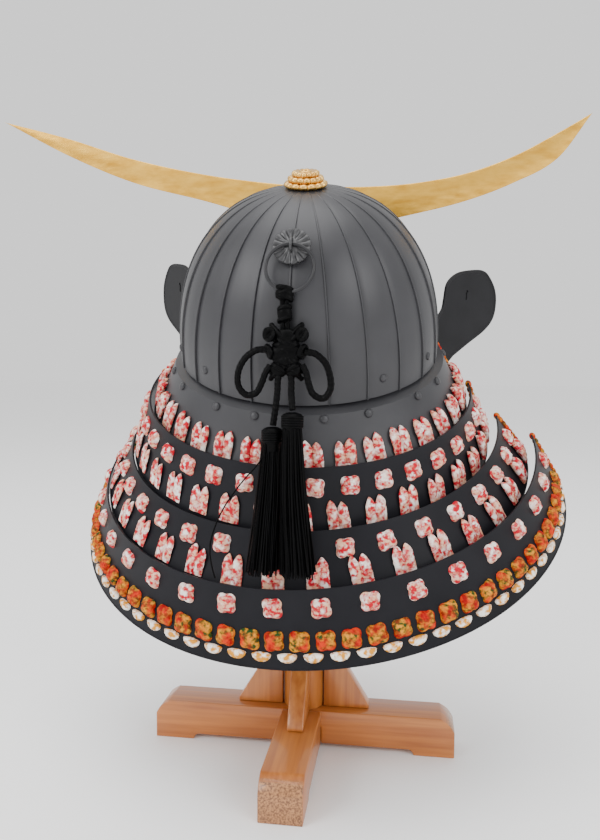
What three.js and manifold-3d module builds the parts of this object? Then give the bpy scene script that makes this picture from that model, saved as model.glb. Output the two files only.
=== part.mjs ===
// Kabuto helmet with a gold crescent crest, on its wooden cross stand.
// Millimetres, +Z up. The wearer's face looks to -Y, the neck guard and the cord hang on the +Y side.
import * as THREE from 'three';
import { mergeVertices } from 'three/addons/utils/BufferGeometryUtils.js';
import Module from 'manifold-3d';

const wasm = await Module();
wasm.setup();

// ---- driving dimensions ----
const GAP = 0.3; // between pieces that touch
const STEEL = 1.6; // thickness of the lames
const BOWL_WALL = 2.2;

// stand, cut from square timber
const TIMBER = 35;
const ARM_LENGTH = 273;
const ARM_END = { slope_run: 12.8, slope_drop: 12.3, bulge: 1.6 };
const FOOT = { length: 36, lift: 4.9 };
const POST = { radius: 18.4, top: 463, cap_radius: 28, cap_height: 14, edge: 4 };
const GUSSET = { reach: 60, thickness: 14, rise: 68, toe: 3, inner: 17 };

// helmet on its stand: centre of the bowl's lower rim, how far each group leans (degrees), and how far
// the lower lames hang to one side
const RIM_CENTRE = new THREE.Vector3(-5, 24.5, 361);
const BOWL_POSE = { tilt: -24, lean: -1.7, turn: 0, aside: 0 };
const MIDDLE_POSE = { tilt: -25, lean: 0.2, turn: -3, aside: 1.2 };
const LOWEST_POSE = { tilt: -25, lean: 1.4, turn: -4.6, aside: 2 };

// bowl: a superellipse turned about its axis, of overlapping plates with raised edges
const BOWL = {
  radius: 108.5, height: 136, power: 2.3, plates: 23, edge_raise: 1.1, edge_width: 0.8, fade_radius: 45,
};
const BOWL_RISE = [0, 32, 62, 86, 106, 121, 130.5, 135.2]; // heights of the outer face's stations
const BOWL_INSIDE = [0, 40, 72, 98, 118, 130]; // the same inside, before the wall is taken off

// neck guard: outer line of each lame as radius and height under the bowl's rim
// rows of knots and pairs of laces: degrees between columns, degrees the row is turned by, how many
// columns, how far down from the lame's top edge (for laces, where the next lame's edge is), and how
// thick the laces are at the row's two ends, since the next lame hangs closer on one side
const LAMES = [
  {
    line: [[104.4, 5], [104.8, -1.4], [114.5, -5], [136.5, -46]], half_angle: 108, pose: BOWL_POSE,
    laces: { pitch: 10.4, phase: -3.6, columns: 18, down: 33.5, thick: [3.8, 3.8] },
  },
  {
    line: [[140, -34.5], [157.5, -84]], half_angle: 98, pose: BOWL_POSE,
    knots: { pitch: 10.4, phase: -3.6, columns: 18, down: 15 },
    laces: { pitch: 10.4, phase: 0.1, columns: 18, down: 40.3, thick: [3.8, 1.8] },
  },
  {
    line: [[163.3, -72.5], [189.4, -110]], half_angle: 97, pose: MIDDLE_POSE,
    knots: { pitch: 10.4, phase: -1.1, columns: 18, down: 14 },
    laces: { pitch: 10.06, phase: 0.4, columns: 19, down: 35, thick: [3.8, 2.2] },
  },
  {
    line: [[194, -101], [219.8, -151]], half_angle: 98.5, pose: LOWEST_POSE,
    knots: { pitch: 10.06, phase: -0.1, columns: 19, down: 13.5 },
    rim_knots: { pitch: 5.03, phase: -0.4, columns: 37, down: 37 },
    half_moons: { pitch: 5.03, phase: -0.4, columns: 38, down: 48.5 },
  },
];
const FOLD_IN = 1.84; // how far the inner face stands in from the outer one, level with it

// lacing
const SINK = 0.8; // how deep small pieces are let into what they sit on
const KNOT = { size: 14, height: 4.2, crown: 0.72 };
const RIM_KNOT = { size: 12, height: 3.8, crown: 0.72 };
const HALF_MOON = { width: 12, height: 3, drop: 7.5, taper: 0.6 };
const LACE = { width: 6.4, spacing: 7.6, tail: 0.45, above_edge: 15.5, slope: 4, behind_edge: 7 };
const END_LACE = { width: 5.2, stands_out: 0.9 };
const RIVET = { radius: 3.2, height: 1.9 };
const NECK_RIVETS = [-99, -70, -54, -30, -13, 13, 30, 54, 70, 99];
const NECK_RIVET_SEAT = { radius: 116.2, height: -7.6, slope: 28 };
const BOWL_RIVETS = [-68, -38.5, 40, 68];
const BOWL_RIVET_HEIGHT = 14;

// fittings
const CROWN = { radii: [17.3, 14.4, 11], heights: [4.2, 4, 3.6], petals: 14, notch: 0.9, hole: 3.2 };
const ROSETTE = { radius: 14, thick: 2.2, petals: 12, notch: 0.86, height: 107.5, lift: 3 };
const STAPLE = { radius: 4.7, wire: 1.1, height: 3.5 };
const RING = { radius: 17.2, wire: 1.25, through: 5.25, slope: 32.7 };
const VISOR = { half_angle: 52, root: 104.4, depth: 38, drop: 16, steps: 10 };

// crescent crest: upper and lower edge at each place across it
const CREST = { thick: 2, foot: [-7, -83.1, 385], lean: -8, tang_width: 22, tang_bottom: 28, tang_top: 112 };
const CREST_EDGES = [
  { x: 320, top: 203, bottom: 203 },
  { x: 255, top: 185.5, bottom: 169 },
  { x: 190, top: 164.5, bottom: 142 },
  { x: 120, top: 148.5, bottom: 123.5 },
  { x: 50, top: 138, bottom: 104 },
  { x: 0, top: 134, bottom: 98 },
  { x: -45, top: 133, bottom: 99.5 },
  { x: -90, top: 135.5, bottom: 107.5 },
  { x: -135, top: 143, bottom: 118 },
  { x: -177, top: 157, bottom: 133 },
  { x: -216, top: 176.5, bottom: 154 },
  { x: -244, top: 192, bottom: 192 },
];
const SOCKET = { width: 34, front: 3.2, back: 5.4, height: 26, wall: 2 };

// turn-backs: outline as distance along the sheet from its root and height above the floor
const TURN_BACK = { root: [112, -17], thick: 2, slot: [34, 411, 3, 8] };
const TURN_BACK_SIDES = [
  { name: 'turn_back_right', side: -1, sweep: 45, lift: 0 },
  { name: 'turn_back_left', side: 1, sweep: 50, lift: 9 },
];
const TURN_BACK_EDGE = [
  { along: 0, up: 374 }, { along: 18, up: 357 }, { along: 37, up: 368 }, { along: 60, up: 381 },
  { along: 72, up: 392 }, { along: 75.5, up: 407 }, { along: 71, up: 424 }, { along: 57, up: 433 },
  { along: 40, up: 433.5 }, { along: 22, up: 429 }, { along: 10, up: 419 }, { along: 6, up: 403 },
];

// hanging cord: knots, loops, legs and tassels, in the assembly's own frame
const CORD = { diameter: 4.2, sides: 8 };
const KNOT_TOP = { centre: [-3.4, 148, 396.6], size: [14.6, 10, 12] };
const KNOT_MIDDLE = { centre: [-3.6, 148.4, 382.6], size: [11.6, 10, 15] };
const MAIN_KNOT_LOBES = [
  { x: 11.5, z: 13, size: [9.5, 9, 10.5] },
  { x: -11.5, z: 13, size: [9.5, 9, 10.5] },
  { x: 0, z: 11.5, size: [17, 11, 12] },
  { x: 0, z: 0, size: [27, 11.5, 15] },
  { x: 5, z: -11, size: [14, 11, 13] },
  { x: -5, z: -11, size: [14, 11, 13] },
];
const MAIN_KNOT_CENTRE = [-4.9, 150.2, 355];
const LOOP_LEFT = [
  [8.6, 150.5, 357.5], [16, 151, 357], [24, 151, 351.5], [29, 151, 342], [29, 151, 332],
  [23.5, 151, 325.6], [16.2, 151, 327], [12, 151, 334.5], [9.5, 151, 341], [6, 150.8, 346.5],
];
const LOOP_RIGHT = [
  [-18.4, 150.5, 356], [-26, 151, 354.5], [-33, 151, 348], [-36.5, 151, 338], [-36.4, 151, 329.5],
  [-31.5, 151, 323.6], [-24.5, 151, 326.5], [-21.2, 151, 334], [-19.4, 151, 341], [-16.5, 150.8, 347],
];
const LEG_LEFT = [[0.6, 151, 336.4], [0.8, 151.8, 328], [2, 152.6, 316], [3.6, 153.2, 304.1]];
const LEG_RIGHT = [[-8.9, 151, 336.4], [-9.2, 152.6, 329], [-10, 155.4, 323], [-10.8, 157.6, 315.6]];
const CORD_RUNS = [
  { name: 'cord_loop_left', points: LOOP_LEFT, steps: 18 },
  { name: 'cord_loop_right', points: LOOP_RIGHT, steps: 18 },
  { name: 'cord_leg_left', points: LEG_LEFT, steps: 6 },
  { name: 'cord_leg_right', points: LEG_RIGHT, steps: 5 },
];
const TASSELS = [
  {
    name: 'tassel_left',
    head: [3.9, 153.4, 303.2],
    fall: [{ down: 10, x: 4.2, y: 154 }, { down: 50, x: 6.2, y: 156.6 }, { down: 104, x: 9.2, y: 163 }],
    spread: 1.0,
  },
  {
    name: 'tassel_right',
    head: [-11, 158.6, 314],
    fall: [{ down: 10, x: -11.2, y: 160 }, { down: 55, x: -12.6, y: 162 }, { down: 115, x: -17, y: 164.6 }],
    spread: 1.0,
  },
];
const TASSEL = { head_radius: 7.6, neck_radius: 4.2, head_length: 11, locks: 7, lock_top: 3, lock_foot: 4.3 };
const TASSEL_RING = [{ down: 10, radius: 4.4 }, { down: 50, radius: 6.4 }, { down: 110, radius: 8.2 }];

// ---- helpers ----
const degrees = (angle) => THREE.MathUtils.degToRad(angle);
const turned = (radius, angle, height) =>
  new THREE.Vector3(radius * Math.sin(degrees(angle)), radius * Math.cos(degrees(angle)), height);

function material(color, roughness, metalness) {
  return new THREE.MeshStandardMaterial({ color, roughness, metalness });
}

// A mesh through closed sections with the same number of points, with a flat cap at each end.
function loft(sections) {
  const count = sections[0].length;
  const positions = sections.flat().flatMap((point) => [point.x, point.y, point.z]);
  const index = [];
  for (let s = 0; s + 1 < sections.length; s++) {
    for (let i = 0; i < count; i++) {
      const a = s * count + i;
      const b = s * count + ((i + 1) % count);
      index.push(a, b, b + count, a, b + count, a + count);
    }
  }
  const last = (sections.length - 1) * count;
  for (let i = 1; i + 1 < count; i++) {
    index.push(0, i + 1, i);
    index.push(last, last + i, last + i + 1);
  }
  const geometry = new THREE.BufferGeometry();
  geometry.setAttribute('position', new THREE.Float32BufferAttribute(positions, 3));
  geometry.setIndex(index);
  return geometry;
}

function toManifold(geometry) {
  const bare = geometry.clone();
  bare.deleteAttribute('normal');
  bare.deleteAttribute('uv');
  const merged = mergeVertices(bare, 1e-4);
  const vertProperties = new Float32Array(merged.attributes.position.array);
  let triVerts = new Uint32Array(merged.index.array);
  if (signedVolume(vertProperties, triVerts) < 0) triVerts = triVerts.reverse();
  return new wasm.Manifold(new wasm.Mesh({ numProp: 3, vertProperties, triVerts }));
}

function signedVolume(points, triangles) {
  const [a, b, c] = [new THREE.Vector3(), new THREE.Vector3(), new THREE.Vector3()];
  let sum = 0;
  for (let t = 0; t < triangles.length; t += 3) {
    a.fromArray(points, triangles[t] * 3);
    b.fromArray(points, triangles[t + 1] * 3);
    c.fromArray(points, triangles[t + 2] * 3);
    sum += a.dot(b.cross(c));
  }
  return sum / 6;
}

function toGeometry(manifold) {
  const mesh = manifold.getMesh();
  const geometry = new THREE.BufferGeometry();
  geometry.setAttribute('position', new THREE.Float32BufferAttribute(mesh.vertProperties, 3));
  geometry.setIndex(Array.from(mesh.triVerts));
  return geometry;
}

function join(geometries) {
  return toGeometry(geometries.map(toManifold).reduce((whole, next) => whole.add(next)));
}

function cut(geometry, tools) {
  return toGeometry(tools.map(toManifold).reduce((whole, tool) => whole.subtract(tool), toManifold(geometry)));
}

function box(width, depth, height, x, y, z) {
  return new THREE.BoxGeometry(width, depth, height).translate(x, y, z);
}

function posed(group, pose) {
  group.rotation.set(degrees(pose.tilt), degrees(pose.lean), degrees(pose.turn), 'ZYX');
  group.position.copy(RIM_CENTRE).x += pose.aside;
  return group;
}

function addMesh(group, name, geometry, look) {
  const solid = toGeometry(toManifold(geometry));
  solid.computeVertexNormals();
  const mesh = new THREE.Mesh(solid, look);
  mesh.name = name;
  group.add(mesh);
  return mesh;
}

// ---- materials ----
const wood = material(0xb5713c, 0.5, 0);
const bowlSteel = material(0x4a4b4f, 0.45, 0.6);
const neckSteel = material(0x38393e, 0.5, 0.6);
const turnBackSteel = material(0x1d1d22, 0.6, 0.5);
const crestGold = material(0xdcb45c, 0.4, 0.9);
const crownGold = material(0xe3b255, 0.3, 1);
const cordBlack = material(0x0c0c0d, 0.6, 0);

// ---- stand ----
function armGeometry() {
  const half = ARM_LENGTH / 2;
  const inner = half - FOOT.length;
  const bend = FOOT.lift;
  const shape = new THREE.Shape();
  shape.moveTo(-half, 0);
  shape.lineTo(-inner, 0);
  shape.absarc(-inner + bend, 0, bend, Math.PI, Math.PI / 2, true);
  shape.lineTo(inner - bend, FOOT.lift);
  shape.absarc(inner - bend, 0, bend, Math.PI / 2, 0, true);
  shape.lineTo(half, 0);
  const shoulder = TIMBER - ARM_END.slope_drop;
  shape.lineTo(half, shoulder);
  const bow = [half - ARM_END.slope_run / 2 + ARM_END.bulge, TIMBER - ARM_END.slope_drop / 2 + ARM_END.bulge];
  shape.quadraticCurveTo(bow[0], bow[1], half - ARM_END.slope_run, TIMBER);
  shape.lineTo(-half + ARM_END.slope_run, TIMBER);
  shape.quadraticCurveTo(-bow[0], bow[1], -half, shoulder);
  const extruded = new THREE.ExtrudeGeometry(shape, { depth: TIMBER, bevelEnabled: false, curveSegments: 4 });
  return extruded.translate(0, 0, -TIMBER / 2).rotateX(Math.PI / 2);
}

function buildStand() {
  const stand = new THREE.Group();
  const middle = (TIMBER + FOOT.lift) / 2;
  const lap = TIMBER + 2 * GAP;
  const over = box(lap, lap, TIMBER, 0, 0, middle + GAP / 2 - TIMBER / 2);
  const under = box(lap, lap, TIMBER, 0, 0, middle - GAP / 2 + TIMBER / 2);
  addMesh(stand, 'stand_arm_side', cut(armGeometry(), [under]), wood);
  addMesh(stand, 'stand_arm_front', cut(armGeometry().rotateZ(Math.PI / 2), [over]), wood);

  const post = [
    [0, TIMBER + GAP], [POST.radius, TIMBER + GAP], [POST.radius, POST.top - POST.cap_height],
    [POST.cap_radius, POST.top - POST.cap_height], [POST.cap_radius, POST.top - POST.edge],
    [POST.cap_radius - POST.edge, POST.top],
    [0, POST.top],
  ].map(([radius, height]) => new THREE.Vector2(radius, height));
  addMesh(stand, 'stand_post', new THREE.LatheGeometry(post, 24).rotateX(Math.PI / 2), wood);

  const brace = new THREE.Shape();
  brace.moveTo(GUSSET.inner, 0);
  brace.lineTo(GUSSET.reach, 0);
  brace.lineTo(GUSSET.reach, GUSSET.toe);
  brace.lineTo(POST.radius + 1, GUSSET.rise);
  brace.lineTo(GUSSET.inner, GUSSET.rise);
  const clearPost = new THREE.CylinderGeometry(POST.radius + GAP, POST.radius + GAP, 400, 24).rotateX(Math.PI / 2);
  const options = { depth: GUSSET.thickness, bevelEnabled: false };
  for (const [name, angle] of [['left', 0], ['back', 90], ['right', 180], ['front', 270]]) {
    const geometry = new THREE.ExtrudeGeometry(brace, options)
      .translate(0, 0, -GUSSET.thickness / 2)
      .rotateX(Math.PI / 2)
      .translate(0, 0, TIMBER + GAP)
      .rotateZ(degrees(angle));
    addMesh(stand, `stand_brace_${name}`, cut(geometry, [clearPost]), wood);
  }
  return stand;
}

// ---- bowl and its fittings ----
const bowlRadius = (height) =>
  BOWL.radius * (1 - Math.min(1, height / BOWL.height) ** BOWL.power) ** (1 / BOWL.power);

// Turned shell whose outer face steps up at each plate's edge, the steps fading out towards the crown.
function bowlGeometry() {
  const outer = BOWL_RISE.map((height) => [bowlRadius(height), height]);
  const scale = (BOWL.radius - BOWL_WALL) / BOWL.radius;
  const inner = BOWL_INSIDE.map((height) => [bowlRadius(height) * scale, height * scale]);
  const profile = [[0, BOWL.height], ...outer.reverse(), ...inner, [0, BOWL.height * scale]];
  const points = profile.map(([radius, height]) => new THREE.Vector2(radius, height));
  const pitch = 360 / BOWL.plates;
  const stations = [{ angle: 0, raise: BOWL.edge_raise }, { angle: BOWL.edge_width, raise: 0 }];
  const lathe = new THREE.LatheGeometry(points, BOWL.plates * stations.length);
  const position = lathe.attributes.position;
  for (let v = 0; v < position.count; v++) {
    const row = v % points.length;
    const turn = Math.floor(v / points.length) % (BOWL.plates * stations.length);
    const station = stations[turn % stations.length];
    const angle = Math.floor(turn / stations.length) * pitch + station.angle;
    const isOuter = row > 0 && row <= outer.length;
    const fade = Math.min(1, points[row].x / BOWL.fade_radius);
    const raise = isOuter ? station.raise * fade : 0;
    const place = turned(points[row].x + raise, angle, points[row].y);
    position.setXYZ(v, place.x, place.y, place.z);
  }
  return lathe;
}

// Round plate with a notched edge, lying on z = 0.
function petalDisc(radius, thickness, petals, notch) {
  const outline = new THREE.Shape();
  for (let i = 0; i < petals * 2; i++) {
    const reach = radius * (i % 2 ? notch : 1);
    const angle = (Math.PI * i) / petals;
    outline[i ? 'lineTo' : 'moveTo'](reach * Math.cos(angle), reach * Math.sin(angle));
  }
  return new THREE.ExtrudeGeometry(outline, { depth: thickness, bevelEnabled: false });
}

function crownGeometry() {
  let base = BOWL.height + GAP;
  const tiers = CROWN.radii.map((radius, tier) => {
    const sunk = tier ? 0.5 : 0;
    const disc = petalDisc(radius, CROWN.heights[tier] + sunk, CROWN.petals, CROWN.notch).translate(0, 0, base - sunk);
    base += CROWN.heights[tier];
    return disc;
  });
  const hole = new THREE.CylinderGeometry(CROWN.hole, CROWN.hole, 8, 10).rotateX(Math.PI / 2).translate(0, 0, base);
  return cut(join(tiers), [hole]);
}

const rivetGeometry = () =>
  new THREE.CylinderGeometry(RIVET.radius * 0.6, RIVET.radius, RIVET.height + 1, 6)
    .rotateX(Math.PI / 2)
    .translate(0, 0, RIVET.height / 2 - 0.5);

// Stands a piece that points along +Z on a turned surface: radius and height of the foot, and the slope.
function stood(geometry, radius, height, slope, angle) {
  return geometry
    .rotateX(degrees(slope - 90))
    .translate(0, radius, height)
    .rotateZ(degrees(-angle));
}

const surfaceSlope = (height) => {
  const outward = bowlRadius(height) ** (BOWL.power - 1) / BOWL.radius ** BOWL.power;
  const upward = height ** (BOWL.power - 1) / BOWL.height ** BOWL.power;
  return THREE.MathUtils.radToDeg(Math.atan2(upward, outward));
};

const rosetteSlope = surfaceSlope(ROSETTE.height);

// Radius and height of a place over the middle of the rosette's seat on the bowl.
function aboveRosetteSeat(distance) {
  const away = new THREE.Vector2(Math.cos(degrees(rosetteSlope)), Math.sin(degrees(rosetteSlope)));
  return new THREE.Vector2(bowlRadius(ROSETTE.height), ROSETTE.height).addScaledVector(away, distance);
}

function rosetteGeometry() {
  const disc = petalDisc(ROSETTE.radius, ROSETTE.thick, ROSETTE.petals, ROSETTE.notch);
  const dome = new THREE.CylinderGeometry(5, 9, 1.6, 12).rotateX(Math.PI / 2).translate(0, 0, ROSETTE.thick + 0.4);
  const staple = new THREE.TorusGeometry(STAPLE.radius, STAPLE.wire, 6, 16)
    .rotateY(Math.PI / 2)
    .translate(0, 0, STAPLE.height);
  return join([disc, dome, staple]);
}

function visorGeometry() {
  const sections = [];
  for (let i = 0; i <= VISOR.steps; i++) {
    const angle = 180 + VISOR.half_angle * ((2 * i) / VISOR.steps - 1);
    const reach = 8 + (VISOR.depth - 8) * Math.cos((Math.PI / 2) * ((2 * i) / VISOR.steps - 1)) ** 0.6;
    const outer = VISOR.root + reach;
    const drop = (VISOR.drop * reach) / VISOR.depth;
    sections.push([
      turned(VISOR.root, angle, 5), turned(VISOR.root + 0.3, angle, -1.4), turned(outer, angle, -1.4 - drop),
      turned(outer, angle, -1.4 - drop - STEEL), turned(VISOR.root - STEEL, angle, -1.4 - STEEL),
      turned(VISOR.root - STEEL, angle, 5),
    ]);
  }
  return loftCapped(sections);
}

// Like loft, for sections that aren't convex: the caps are cut into triangles by their outline.
function loftCapped(sections) {
  const geometry = loft(sections);
  const count = sections[0].length;
  const sideLength = (sections.length - 1) * count * 6;
  const index = Array.from(geometry.index.array).slice(0, sideLength);
  const outline = sections[0].map((point) => new THREE.Vector2(Math.hypot(point.x, point.y), point.z));
  const last = (sections.length - 1) * count;
  const reversed = THREE.ShapeUtils.isClockWise(outline);
  for (const [a, b, c] of THREE.ShapeUtils.triangulateShape(outline, [])) {
    const [p, q, r] = reversed ? [a, c, b] : [a, b, c];
    index.push(r, q, p, last + p, last + q, last + r);
  }
  geometry.setIndex(index);
  return geometry;
}

function buildBowl() {
  const bowl = posed(new THREE.Group(), BOWL_POSE);
  const rivets = BOWL_RIVETS.map((angle) =>
    stood(rivetGeometry(), bowlRadius(BOWL_RIVET_HEIGHT), BOWL_RIVET_HEIGHT, 0, angle));
  addMesh(bowl, 'bowl', join([bowlGeometry(), ...rivets]), bowlSteel);
  addMesh(bowl, 'crown_fitting', crownGeometry(), crownGold);
  const rosette = aboveRosetteSeat(ROSETTE.lift);
  addMesh(bowl, 'cord_rosette', stood(rosetteGeometry(), rosette.x, rosette.y, rosetteSlope, 0), bowlSteel);
  addMesh(bowl, 'cord_ring', ringGeometry(RING.wire), bowlSteel);
  addMesh(bowl, 'visor', visorGeometry(), bowlSteel);
  return bowl;
}

// The ring's top runs through the staple, and its lower side leans out over the bowl.
function ringGeometry(wire) {
  const torus = new THREE.TorusGeometry(RING.radius, wire, 6, 24);
  const hang = new THREE.Vector2(Math.sin(degrees(RING.slope)), -Math.cos(degrees(RING.slope)));
  const centre = aboveRosetteSeat(ROSETTE.lift + RING.through).addScaledVector(hang, RING.radius);
  return stood(torus, centre.x, centre.y, RING.slope, 0);
}

// ---- neck guard ----
// Point on a lame's outer line, a distance down from its top edge, and the line's slope there.
function onLine(line, distance) {
  const [[topRadius, topHeight], [lowRadius, lowHeight]] = line;
  const length = Math.hypot(lowRadius - topRadius, lowHeight - topHeight);
  const share = distance / length;
  return {
    radius: topRadius + (lowRadius - topRadius) * share,
    height: topHeight + (lowHeight - topHeight) * share,
    slope: THREE.MathUtils.radToDeg(Math.atan2(lowRadius - topRadius, topHeight - lowHeight)),
  };
}

// Sheet bent round the axis, with flats that match its columns.
function lameGeometry({ line, half_angle, knots, laces }) {
  const innerLine = line.map(([radius, height]) => [radius - FOLD_IN, height]).reverse();
  const section = [...line, ...innerLine];
  const row = knots ?? laces;
  const corners = columnAngles({ ...row, columns: row.columns + 5 });
  const inside = corners.filter((angle) => Math.abs(angle) < half_angle - row.pitch / 8);
  const angles = [-half_angle, ...inside, half_angle];
  return loftCapped(angles.map((angle) => section.map(([radius, height]) => turned(radius, angle, height))));
}

// Knot standing on z = 0, let in a little, with a smaller crown.
function knotGeometry({ size, height, crown }) {
  return new THREE.CylinderGeometry((size * crown) / Math.SQRT2, size / Math.SQRT2, height + SINK, 4)
    .rotateX(Math.PI / 2)
    .rotateZ(Math.PI / 4)
    .translate(0, 0, (height - SINK) / 2);
}

function halfMoonGeometry() {
  const { width, height, drop, taper } = HALF_MOON;
  const shape = new THREE.Shape();
  shape.moveTo(width / 2, drop / 2);
  shape.lineTo((width * taper) / 2, -drop / 2);
  shape.lineTo((-width * taper) / 2, -drop / 2);
  shape.lineTo(-width / 2, drop / 2);
  return new THREE.ExtrudeGeometry(shape, { depth: height + SINK, bevelEnabled: false }).translate(0, 0, -SINK);
}

// One lace, top towards +Y: it leaves the upper lame through a hole and runs down behind the next edge.
function laceGeometry(thick) {
  const shape = new THREE.Shape();
  shape.moveTo(LACE.above_edge, -SINK);
  shape.lineTo(LACE.above_edge - LACE.slope, thick);
  shape.lineTo(-LACE.behind_edge, thick * LACE.tail);
  shape.lineTo(-LACE.behind_edge, -SINK);
  return new THREE.ExtrudeGeometry(shape, { depth: LACE.width, bevelEnabled: false })
    .translate(0, 0, -LACE.width / 2)
    .rotateX(Math.PI / 2)
    .rotateZ(Math.PI / 2);
}

const columnAngles = ({ columns, pitch, phase }) =>
  Array.from({ length: columns }, (_, i) => (i - (columns - 1) / 2) * pitch + phase);

// Sets a piece that stands along +Z, with its top towards +Y, on a lame's outer face.
function onLame(geometry, line, distance, angle, shift = 0) {
  const { radius, height, slope } = onLine(line, distance);
  return geometry
    .rotateX(degrees(90 - slope))
    .rotateZ(Math.PI)
    .translate(shift, radius, height)
    .rotateZ(degrees(-angle));
}

// Bar of edge lacing down a lame's front end, standing out on both faces.
function endLaceGeometry(line, angle) {
  const sections = line.map(([radius, height]) => {
    const side = THREE.MathUtils.radToDeg(END_LACE.width / 2 / radius);
    const [inner, outer] = [radius - FOLD_IN - END_LACE.stands_out, radius + END_LACE.stands_out];
    return [
      turned(inner, angle - side, height), turned(outer, angle - side, height),
      turned(outer, angle + side, height), turned(inner, angle + side, height),
    ];
  });
  return loft(sections);
}

function buildNeckGuard() {
  const guard = new THREE.Group();
  LAMES.forEach((lame, index) => {
    const straight = lame.line.slice(-2);
    const pieces = [lameGeometry(lame)];
    const addRow = (row, piece, shift = 0) => {
      const angles = row ? columnAngles(row) : [];
      angles.forEach((angle, column) => {
        pieces.push(onLame(piece(column / (angles.length - 1)), straight, row.down, angle, shift));
      });
    };
    const lace = (share) => laceGeometry(THREE.MathUtils.lerp(...lame.laces.thick, share));
    addRow(lame.knots, () => knotGeometry(KNOT));
    addRow(lame.rim_knots, () => knotGeometry(RIM_KNOT));
    addRow(lame.half_moons, halfMoonGeometry);
    addRow(lame.laces, lace, -LACE.spacing / 2);
    addRow(lame.laces, lace, LACE.spacing / 2);
    if (index === 0) {
      const { radius, height, slope } = NECK_RIVET_SEAT;
      pieces.push(...NECK_RIVETS.map((angle) => stood(rivetGeometry(), radius, height, slope, angle)));
    }
    for (const side of [-1, 1]) {
      pieces.push(endLaceGeometry(straight, side * lame.half_angle));
    }
    const hung = posed(new THREE.Group(), lame.pose);
    addMesh(hung, `neck_lame_${index + 1}`, join(pieces), neckSteel);
    guard.add(hung);
  });
  return guard;
}

// ---- crest ----
function crestGeometry() {
  const upper = CREST_EDGES.map(({ x, top }) => new THREE.Vector2(x, top));
  const lower = CREST_EDGES.slice(1, -1).map(({ x, bottom }) => new THREE.Vector2(x, bottom)).reverse();
  const shape = new THREE.Shape();
  shape.moveTo(upper[0].x, upper[0].y);
  shape.splineThru(upper.slice(1));
  shape.splineThru([...lower, upper[0]]);
  const options = { depth: CREST.thick, bevelEnabled: false, curveSegments: 3 };
  const crescent = new THREE.ExtrudeGeometry(shape, options).translate(0, 0, -CREST.thick / 2);
  const middle = (CREST.tang_top + CREST.tang_bottom) / 2;
  const tang = box(CREST.tang_width, CREST.tang_top - CREST.tang_bottom, CREST.thick, 0, middle, 0);
  return join([crescent, tang]).rotateX(Math.PI / 2);
}

function socketGeometry() {
  const { width, front, back, height, wall } = SOCKET;
  const middle = CREST.tang_bottom + height / 2;
  const block = box(width, front + back, height, 0, (back - front) / 2, middle - wall);
  return cut(block, [box(CREST.tang_width + 2 * GAP, CREST.thick + 2 * GAP, height, 0, 0, middle - GAP)]);
}

function buildCrest() {
  const crest = new THREE.Group();
  crest.position.set(...CREST.foot);
  crest.rotation.set(degrees(CREST.lean), 0, 0);
  addMesh(crest, 'crest', crestGeometry(), crestGold);
  addMesh(crest, 'crest_socket', socketGeometry(), bowlSteel);
  return crest;
}

// ---- turn-backs ----
function buildTurnBacks() {
  const pair = new THREE.Group();
  for (const { name, side, sweep, lift } of TURN_BACK_SIDES) {
    const outline = TURN_BACK_EDGE.map(({ along, up }) => new THREE.Vector2(along, up - RIM_CENTRE.z));
    const shape = new THREE.Shape();
    shape.moveTo(outline[0].x, outline[0].y);
    shape.lineTo(outline[1].x, outline[1].y);
    shape.splineThru([...outline.slice(2), outline[0]]);
    const [along, up, width, height] = TURN_BACK.slot;
    const slot = box(width, height, 10, along, up - RIM_CENTRE.z, 0);
    const options = { depth: TURN_BACK.thick, bevelEnabled: false, curveSegments: 2 };
    const sheet = new THREE.ExtrudeGeometry(shape, options).translate(0, 0, -TURN_BACK.thick / 2);
    const geometry = cut(sheet, [slot])
      .rotateX(Math.PI / 2)
      .rotateZ(degrees(-sweep))
      .translate(TURN_BACK.root[0], TURN_BACK.root[1], 0);
    if (side < 0) geometry.scale(-1, 1, 1);
    geometry.translate(RIM_CENTRE.x, 0, RIM_CENTRE.z + lift);
    addMesh(pair, name, geometry, turnBackSteel);
  }
  return pair;
}

// ---- hanging cord ----
const vectors = (points) => points.map(([x, y, z]) => new THREE.Vector3(x, y, z));

function tubeGeometry(points, steps) {
  const section = new THREE.Shape();
  for (let i = 0; i < CORD.sides; i++) {
    const angle = (2 * Math.PI * i) / CORD.sides;
    const place = [(CORD.diameter / 2) * Math.cos(angle), (CORD.diameter / 2) * Math.sin(angle)];
    section[i ? 'lineTo' : 'moveTo'](...place);
  }
  const path = new THREE.CatmullRomCurve3(vectors(points), false, 'centripetal');
  return new THREE.ExtrudeGeometry(section, { steps, bevelEnabled: false, extrudePath: path });
}

function lump(size, centre, grow = 0) {
  const [width, depth, height] = size.map((side) => side + 2 * grow);
  return new THREE.SphereGeometry(0.5, 8, 5).rotateX(Math.PI / 2).scale(width, depth, height).translate(...centre);
}

function mainKnotGeometry(grow) {
  const [x, y, z] = MAIN_KNOT_CENTRE;
  return join(MAIN_KNOT_LOBES.map((lobe) => lump(lobe.size, [x + lobe.x, y, z + lobe.z], grow)));
}

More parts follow.
